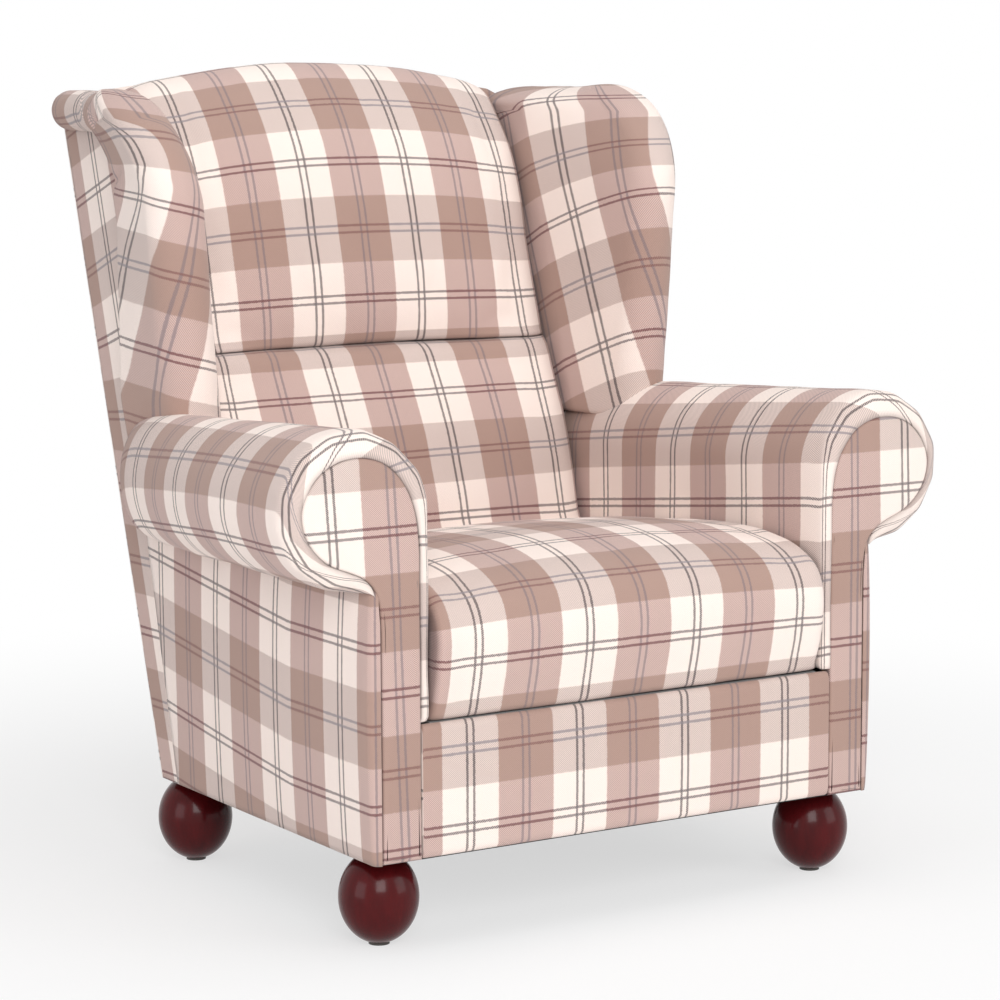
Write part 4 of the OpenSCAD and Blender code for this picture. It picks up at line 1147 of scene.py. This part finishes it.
def outsideWingCloth(p):
    o = outside
    y, z = p[..., 1], p[..., 2]
    forward = rearY(z) - y
    u = warpHalf + (forward - o["wingCharcoal"]) * o["wingStretch"]
    v = (z - np.interp(z, *o["wingSlope"]) * forward - o["wingMaroonZ"]) * weftHalf / o["wingPitch"]
    return np.stack([u, v], -1)


def outsideBackCloth(p):
    return np.stack([p[..., 0], p[..., 2] / math.cos(rakeAngle) - outside["backMaroonRun"]], -1)


def makeSheet(name, grid, clothAt, thick):
    piece = skin(name, grid, clothAt(grid), closed=False)
    addModifier(piece, "thickness", "SOLIDIFY", thickness=thick, offset=-1.0, use_even_offset=True)
    return piece


def makeOutsideArm(side, suffix):
    o = outside
    ys = np.linspace(0, 1, 64)
    zs = np.linspace(chair["footTop"], o["armTop"], 44)
    turns = np.radians(np.linspace(0, 90, 8))[1:]
    corner = chair["facingY"] - 0.0012 + o["cornerR"]
    grid = []
    for i, z in enumerate(zs):
        end = float(postFront(max(z, chair["railZ"]))) - 0.0003
        share = i / (len(zs) - 1)
        rise = math.sin(math.pi * share ** 0.8) ** 0.6
        puff = o["puff"] * (1 - ys ** 3) * rise * mix(o["lowPuff"], 1.0, share)
        puff = puff + o["swell"] * np.sin(np.pi * ys) * rise
        flank = np.stack([chair["sideX"] + puff, mix(corner, end, ys)], 1)
        x, r = flank[0, 0], o["cornerR"]
        bend = [(x - r * (1 - math.cos(a)), corner - r * math.sin(a)) for a in turns]
        edgeX, edgeY = bend[-1]
        last = np.interp(z, [0.405, 0.440], [o["hemX"], edgeX - 0.0004])
        front = [(mix(edgeX, last, t), edgeY) for t in (0.25, 0.5, 0.75, 1.0)]
        line = np.vstack([front[::-1], bend[::-1], flank])
        grid.append(np.stack([line[:, 0] * side, line[:, 1], np.full(len(line), z)], 1))
    grid = np.array(grid)
    name = "outsideArm" + suffix.capitalize()
    piece = makeSheet(name, grid if side > 0 else grid[:, ::-1], outsideCloth, o["thick"])
    finishPiece(piece, ["outside_arm_" + suffix], levels=0)
    return piece


def makeOutsideWing(side, suffix):
    armRail = chair["armRailZ"]
    zs = np.r_[np.linspace(chair["footTop"], armRail, 40), np.linspace(armRail + 0.0005, wing["postTop"], 90)]
    grid = []
    for z in zs:
        rear = rearY(z) - 0.0021
        if z <= armRail + 0.0002:
            front = float(postFront(max(z, chair["railZ"])))
        elif z < wing["lowZ"] - 0.0003:
            front = float(postFront(armRail))
        else:
            front = wingSeam(z, float(postFront(z)) - 0.0003) + 0.0003
        ys = np.linspace(min(front, rear - 0.004), rear, 24)
        grid.append([(chair["sideX"] * side, y, z) for y in ys])
    grid = np.array(grid)
    name = "outsideWing" + suffix.capitalize()
    piece = makeSheet(name, grid if side > 0 else grid[:, ::-1], outsideWingCloth, outside["thick"])
    finishPiece(piece, ["outside_wing_" + suffix], levels=0)
    return piece


def makeOutsideBack():
    o = outside
    grid = []
    for s in np.linspace(0, 1, 80):
        row = []
        for c in np.linspace(-1, 1, 60):
            drop = o["cornerDrop"] * float(ease((abs(c) - o["cornerFrom"]) / (1 - o["cornerFrom"])))
            z = mix(chair["footTop"], chair["rearTop"] - back["arch"] * c * c - drop, s)
            row.append((c * chair["sideX"], rearY(z), z))
        grid.append(row)
    piece = makeSheet("outsideBack", np.array(grid)[:, ::-1], outsideBackCloth, o["thick"])
    finishPiece(piece, ["outside_back"], levels=0)
    return piece


for side, suffix in bothSides:
    makeOutsideArm(side, suffix)
    makeOutsideWing(side, suffix)
makeOutsideBack()

dustCover = dict(halfWide=0.368, inset=0.002, thick=0.0012)


def makeDustCover(d):
    front, rear = chair["facingY"] + d["inset"], rearY(chair["footTop"]) - d["inset"]
    xs, ys = np.linspace(-d["halfWide"], d["halfWide"], 50), np.linspace(front, rear, 50)
    grid = np.array([[(x, y, chair["footTop"] + 0.0002) for x in xs] for y in ys])
    piece = makeSheet("dustCover", grid[:, ::-1], lambda p: p[..., :2], d["thick"])
    finishPiece(piece, ["dust_cover"], slotName="dust_cloth", levels=0)
    return piece


makeDustCover(dustCover)
print("outside cloths made")


# ---- staples and slip stitches, set along paths by one node tree

def makeStitchTree():
    tree = bpy.data.node_groups.new("stitchesAlongPath", "GeometryNodeTree")
    face = tree.interface
    face.new_socket("Path", in_out="INPUT", socket_type="NodeSocketGeometry")
    for name in ("Pitch", "Length", "Thickness", "Dip", "Skew"):
        face.new_socket(name, in_out="INPUT", socket_type="NodeSocketFloat")
    face.new_socket("Seed", in_out="INPUT", socket_type="NodeSocketInt")
    face.new_socket("Outward", in_out="INPUT", socket_type="NodeSocketVector")
    face.new_socket("Material", in_out="INPUT", socket_type="NodeSocketMaterial")
    face.new_socket("Stitches", in_out="OUTPUT", socket_type="NodeSocketGeometry")
    given, result = tree.nodes.new("NodeGroupInput"), tree.nodes.new("NodeGroupOutput")

    def node(kind, **values):
        made = tree.nodes.new(kind)
        for key, value in values.items():
            setattr(made, key, value)
        return made

    # one stitch: a short bent wire whose two ends dip in
    half = node("ShaderNodeVectorMath", operation="SCALE")
    half.inputs[0].default_value = (0.5, 0, 0)
    link(tree, given.outputs["Length"], half.inputs["Scale"])
    back = node("ShaderNodeVectorMath", operation="SCALE")
    back.inputs["Scale"].default_value = -1
    link(tree, half.outputs[0], back.inputs[0])
    bar = node("GeometryNodeCurvePrimitiveLine")
    link(tree, back.outputs[0], bar.inputs["Start"])
    link(tree, half.outputs[0], bar.inputs["End"])
    fine = node("GeometryNodeResampleCurve")
    link(tree, bar.outputs[0], fine.inputs["Curve"])
    fine.inputs["Count"].default_value = 7
    along = node("GeometryNodeSplineParameter")
    centred = calc(tree, "ABSOLUTE", calc(tree, "MULTIPLY_ADD", along.outputs["Factor"], 2.0, -1.0))
    dip = calc(tree, "MULTIPLY", given.outputs["Dip"], -1.0)
    drop = calc(tree, "MULTIPLY", calc(tree, "POWER", centred, 4.0), dip)
    down = node("ShaderNodeCombineXYZ")
    link(tree, drop, down.inputs["Z"])
    bent = node("GeometryNodeSetPosition")
    link(tree, fine.outputs[0], bent.inputs["Geometry"])
    link(tree, down.outputs[0], bent.inputs["Offset"])
    wire = node("GeometryNodeCurvePrimitiveCircle")
    wire.inputs["Resolution"].default_value = 5
    link(tree, calc(tree, "MULTIPLY", given.outputs["Thickness"], 0.5), wire.inputs["Radius"])
    body = node("GeometryNodeCurveToMesh")
    body.inputs["Fill Caps"].default_value = True
    link(tree, bent.outputs[0], body.inputs["Curve"])
    link(tree, wire.outputs[0], body.inputs["Profile Curve"])

    # the path, in even steps, each stitch turned along it and up from the cloth
    path = node("GeometryNodeMeshToCurve")
    link(tree, given.outputs["Path"], path.inputs["Mesh"])
    steps = node("GeometryNodeResampleCurve")
    if hasattr(steps, "mode"):
        steps.mode = "LENGTH"
    link(tree, path.outputs[0], steps.inputs["Curve"])
    link(tree, given.outputs["Pitch"], steps.inputs["Length"])
    tangent = node("GeometryNodeInputTangent")
    forward = node("FunctionNodeAlignRotationToVector", axis="X")
    link(tree, tangent.outputs[0], forward.inputs["Vector"])
    upright = node("FunctionNodeAlignRotationToVector", axis="Z", pivot_axis="X")
    link(tree, forward.outputs[0], upright.inputs["Rotation"])
    link(tree, given.outputs["Outward"], upright.inputs["Vector"])
    chance = node("FunctionNodeRandomValue", data_type="FLOAT")
    link(tree, calc(tree, "MULTIPLY", given.outputs["Skew"], -1.0), chance.inputs[2])
    link(tree, given.outputs["Skew"], chance.inputs[3])
    link(tree, given.outputs["Seed"], chance.inputs["Seed"])
    askew = node("ShaderNodeCombineXYZ")
    link(tree, chance.outputs[1], askew.inputs["Z"])
    turned = node("FunctionNodeRotateRotation", rotation_space="LOCAL")
    link(tree, upright.outputs[0], turned.inputs[0])
    link(tree, askew.outputs[0], turned.inputs[1])
    placed = node("GeometryNodeInstanceOnPoints")
    link(tree, steps.outputs[0], placed.inputs["Points"])
    link(tree, body.outputs[0], placed.inputs["Instance"])
    link(tree, turned.outputs[0], placed.inputs["Rotation"])
    real = node("GeometryNodeRealizeInstances")
    link(tree, placed.outputs[0], real.inputs[0])
    dressed = node("GeometryNodeSetMaterial")
    link(tree, real.outputs[0], dressed.inputs["Geometry"])
    link(tree, given.outputs["Material"], dressed.inputs["Material"])
    link(tree, dressed.outputs[0], result.inputs[0])
    return tree


def stitchAlong(name, tree, lines, material, slotName, **sizes):
    verts = [tuple(p) for line in lines for p in line]
    edges, start = [], 0
    for line in lines:
        edges += [(start + i, start + i + 1) for i in range(len(line) - 1)]
        start += len(line)
    mesh = bpy.data.meshes.new(name + "Path")
    mesh.from_pydata(verts, edges, [])
    path = bpy.data.objects.new(name + "Path", mesh)
    bpy.context.scene.collection.objects.link(path)
    maker = path.modifiers.new("stitches", "NODES")
    maker.node_group = tree
    sockets = {item.name: item.identifier for item in tree.interface.items_tree if item.in_out == "INPUT"}
    for key, value in dict(sizes, Material=material).items():
        maker[sockets[key]] = value
    made = path.evaluated_get(bpy.context.evaluated_depsgraph_get())
    plain = bpy.data.meshes.new_from_object(made)
    bpy.data.objects.remove(path)
    plain.name = name
    plain.shade_smooth()
    piece = bpy.data.objects.new(name, plain)
    bpy.context.scene.collection.objects.link(piece)
    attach(piece, "root")
    print(name, len(plain.polygons), "faces")
    return piece


# what starts with a capital goes to the node tree's inputs
staples = dict(
    Pitch=0.034, Length=0.011, Thickness=0.0012, Dip=0.0010, Skew=0.10, Seed=4, Outward=(0.0, 0.0, -1.0),
    inset=0.009,
)
slip = dict(
    Pitch=0.0105, Length=0.0046, Thickness=0.0009, Dip=0.0007, Skew=0.12, Seed=9,
    Outward=tuple(Vector((0, 1, -rakeTan)).normalized()), inset=0.0035, fromZ=0.125, toZ=0.978,
)
stitchTree = makeStitchTree()
threadTaupe = makeSpeckled("threadTaupe", srgb(176, 150, 140), srgb(132, 108, 100), 900.0, 0.8, 0.3)


def treeInputs(values):
    return {key: value for key, value in values.items() if key[0].isupper()}


def makeStaples():
    d = dustCover
    low = chair["footTop"] - d["thick"]
    front = chair["facingY"] + d["inset"] + staples["inset"]
    rear = rearY(low) - d["inset"] - staples["inset"]
    side = d["halfWide"] - staples["inset"]
    corners = [(-side, front, low), (side, front, low), (side, rear, low), (-side, rear, low)]
    lines = [[corners[i], corners[(i + 1) % 4]] for i in range(4)]
    stitchAlong("dustCoverStaples", stitchTree, lines, springSteel, "steel", **treeInputs(staples))


def makeSlipStitches():
    lines = []
    for side, _ in bothSides:
        x = side * (chair["sideX"] - slip["inset"])
        lines.append([(x, rearY(z) + 0.0002, z) for z in np.linspace(slip["fromZ"], slip["toZ"], 40)])
    stitchAlong("outsideBackStitches", stitchTree, lines, threadTaupe, "check_cloth", **treeInputs(slip))


makeStaples()
makeSlipStitches()
print("staples and stitches made")


# ---- feet

foot = dict(
    wide=0.099, lowR=0.0130, topZ=0.1138, glide=0.003, topShare=0.30,
    apart=0.328, places=dict(front=-0.355, rear=0.138),
)


def makeFoot(name, x, y, node):
    low = math.asin(2 * foot["lowR"] / foot["wide"])
    high = math.asin(foot["topShare"])
    halfTall = (foot["topZ"] - foot["glide"]) / (math.cos(low) + math.cos(high))
    middle = foot["glide"] + halfTall * math.cos(low)
    turns = np.linspace(0, math.tau, 65)[:-1]
    rows, cloth = [], []
    for a in np.linspace(low, math.pi - high, 40):
        r, z = foot["wide"] / 2 * math.sin(a), middle - halfTall * math.cos(a)
        rows.append([(x + r * math.cos(turn), y + r * math.sin(turn), z) for turn in turns])
        cloth.append([(0, 0)] * (len(turns) + 1))
    piece = skin(name, rows, cloth)
    finishPiece(piece, [node], slotName="foot_lacquer", levels=1)
    return piece


for part, y in foot["places"].items():
    for side, suffix in bothSides:
        name = "foot" + part.capitalize() + suffix.capitalize()
        makeFoot(name, side * foot["apart"], y, "foot_" + part + "_" + suffix)
print("feet made")


# ---- camera, light and floor

view = dict(place=(-2.1768, -3.5897, 1.0551), turn=-32.045, down=7.849, roll=-0.272, lens=113.65)


def makeCamera(c):
    a, e, k = (math.radians(c[key]) for key in ("turn", "down", "roll"))
    behind = Vector((math.sin(a) * math.cos(e), -math.cos(a) * math.cos(e), math.sin(e)))
    right = (-behind).cross(Vector((0, 0, 1))).normalized()
    up = right.cross(-behind)
    across = right * math.cos(k) + up * math.sin(k)
    upward = up * math.cos(k) - right * math.sin(k)
    data = bpy.data.cameras.new("camera")
    data.lens, data.sensor_width, data.clip_end = c["lens"], 36, 50
    camera = bpy.data.objects.new("camera", data)
    turn = Matrix((across, upward, behind)).transposed().to_4x4()
    camera.matrix_world = Matrix.Translation(c["place"]) @ turn
    bpy.context.scene.collection.objects.link(camera)
    bpy.context.scene.camera = camera


def areaLight(name, place, aim, size, power, colour=(1, 1, 1)):
    data = bpy.data.lights.new(name, "AREA")
    data.shape, data.size, data.energy, data.color = "SQUARE", size, power, colour
    lamp = bpy.data.objects.new(name, data)
    lamp.location = place
    lamp.rotation_euler = (Vector(aim) - Vector(place)).to_track_quat("-Z", "Y").to_euler()
    bpy.context.scene.collection.objects.link(lamp)


def seenDirectly(tree):
    # 1 for what the camera sees, also by way of gloss or glass
    path = tree.nodes.new("ShaderNodeLightPath")
    seen = calc(tree, "MAXIMUM", path.outputs["Is Camera Ray"], path.outputs["Is Glossy Ray"])
    return calc(tree, "MAXIMUM", seen, path.outputs["Is Transmission Ray"])


floorLook = dict(radius=12, around=96, lit=0.9, near=0.5, far=1.9, dim=0.62)


def makeFloor(look):
    mesh = bpy.data.meshes.new("floor")
    count = look["around"]
    turns = np.linspace(0, math.tau, count + 1)[:-1]
    ring = [(look["radius"] * math.cos(a), look["radius"] * math.sin(a), 0) for a in turns]
    mesh.from_pydata([(0, 0, 0)] + ring, [], [(0, i + 1, (i + 1) % count + 1) for i in range(count)])
    floor = bpy.data.objects.new("floor", mesh)
    bpy.context.scene.collection.objects.link(floor)
    material, tree, shader = newMaterial("paleFloor", Roughness=0.9)
    shader.inputs["Base Color"].default_value = (look["lit"], look["lit"], look["lit"], 1)
    glow = tree.nodes.new("ShaderNodeEmission")
    seen = seenDirectly(tree)
    # seen directly it fades to white away from the chair
    place = tree.nodes.new("ShaderNodeTexCoord")
    far = tree.nodes.new("ShaderNodeVectorMath")
    far.operation = "LENGTH"
    link(tree, place.outputs["Object"], far.inputs[0])
    fade = tree.nodes.new("ShaderNodeMapRange")
    fade.interpolation_type = "SMOOTHSTEP"
    fade.inputs["From Min"].default_value = look["near"]
    fade.inputs["From Max"].default_value = look["far"]
    fade.inputs["To Min"].default_value = look["dim"]
    fade.inputs["To Max"].default_value = 1.0
    link(tree, far.outputs["Value"], fade.inputs["Value"])
    blend = tree.nodes.new("ShaderNodeMixShader")
    link(tree, calc(tree, "MULTIPLY", seen, fade.outputs["Result"]), blend.inputs[0])
    link(tree, shader.outputs[0], blend.inputs[1])
    link(tree, glow.outputs[0], blend.inputs[2])
    link(tree, blend.outputs[0], tree.nodes["Material Output"].inputs["Surface"])
    mesh.materials.append(material)


def makeWorld(strength):
    world = bpy.data.worlds.new("studio")
    bpy.context.scene.world = world
    world.use_nodes = True
    tree = world.node_tree
    background = tree.nodes["Background"]
    background.inputs["Color"].default_value = (1, 1, 1, 1)
    level = calc(tree, "MULTIPLY_ADD", seenDirectly(tree), 1 - strength, strength)
    link(tree, level, background.inputs["Strength"])


makeCamera(view)
makeFloor(floorLook)
makeWorld(0.38)
areaLight("key", (-1.9, -4.2, 2.3), (0, 0, 0.5), 2.2, 112)
areaLight("side", (-3.6, -0.6, 0.9), (0, 0, 0.5), 1.8, 24, (0.95, 0.96, 1.0))
areaLight("fill", (2.4, -3.4, 1.5), (0, 0, 0.5), 2.2, 36)
areaLight("top", (0.2, -0.4, 3.4), (0, 0, 0.4), 2.4, 34)
scene = bpy.context.scene
scene.view_settings.view_transform = "Standard"
print("stage set")
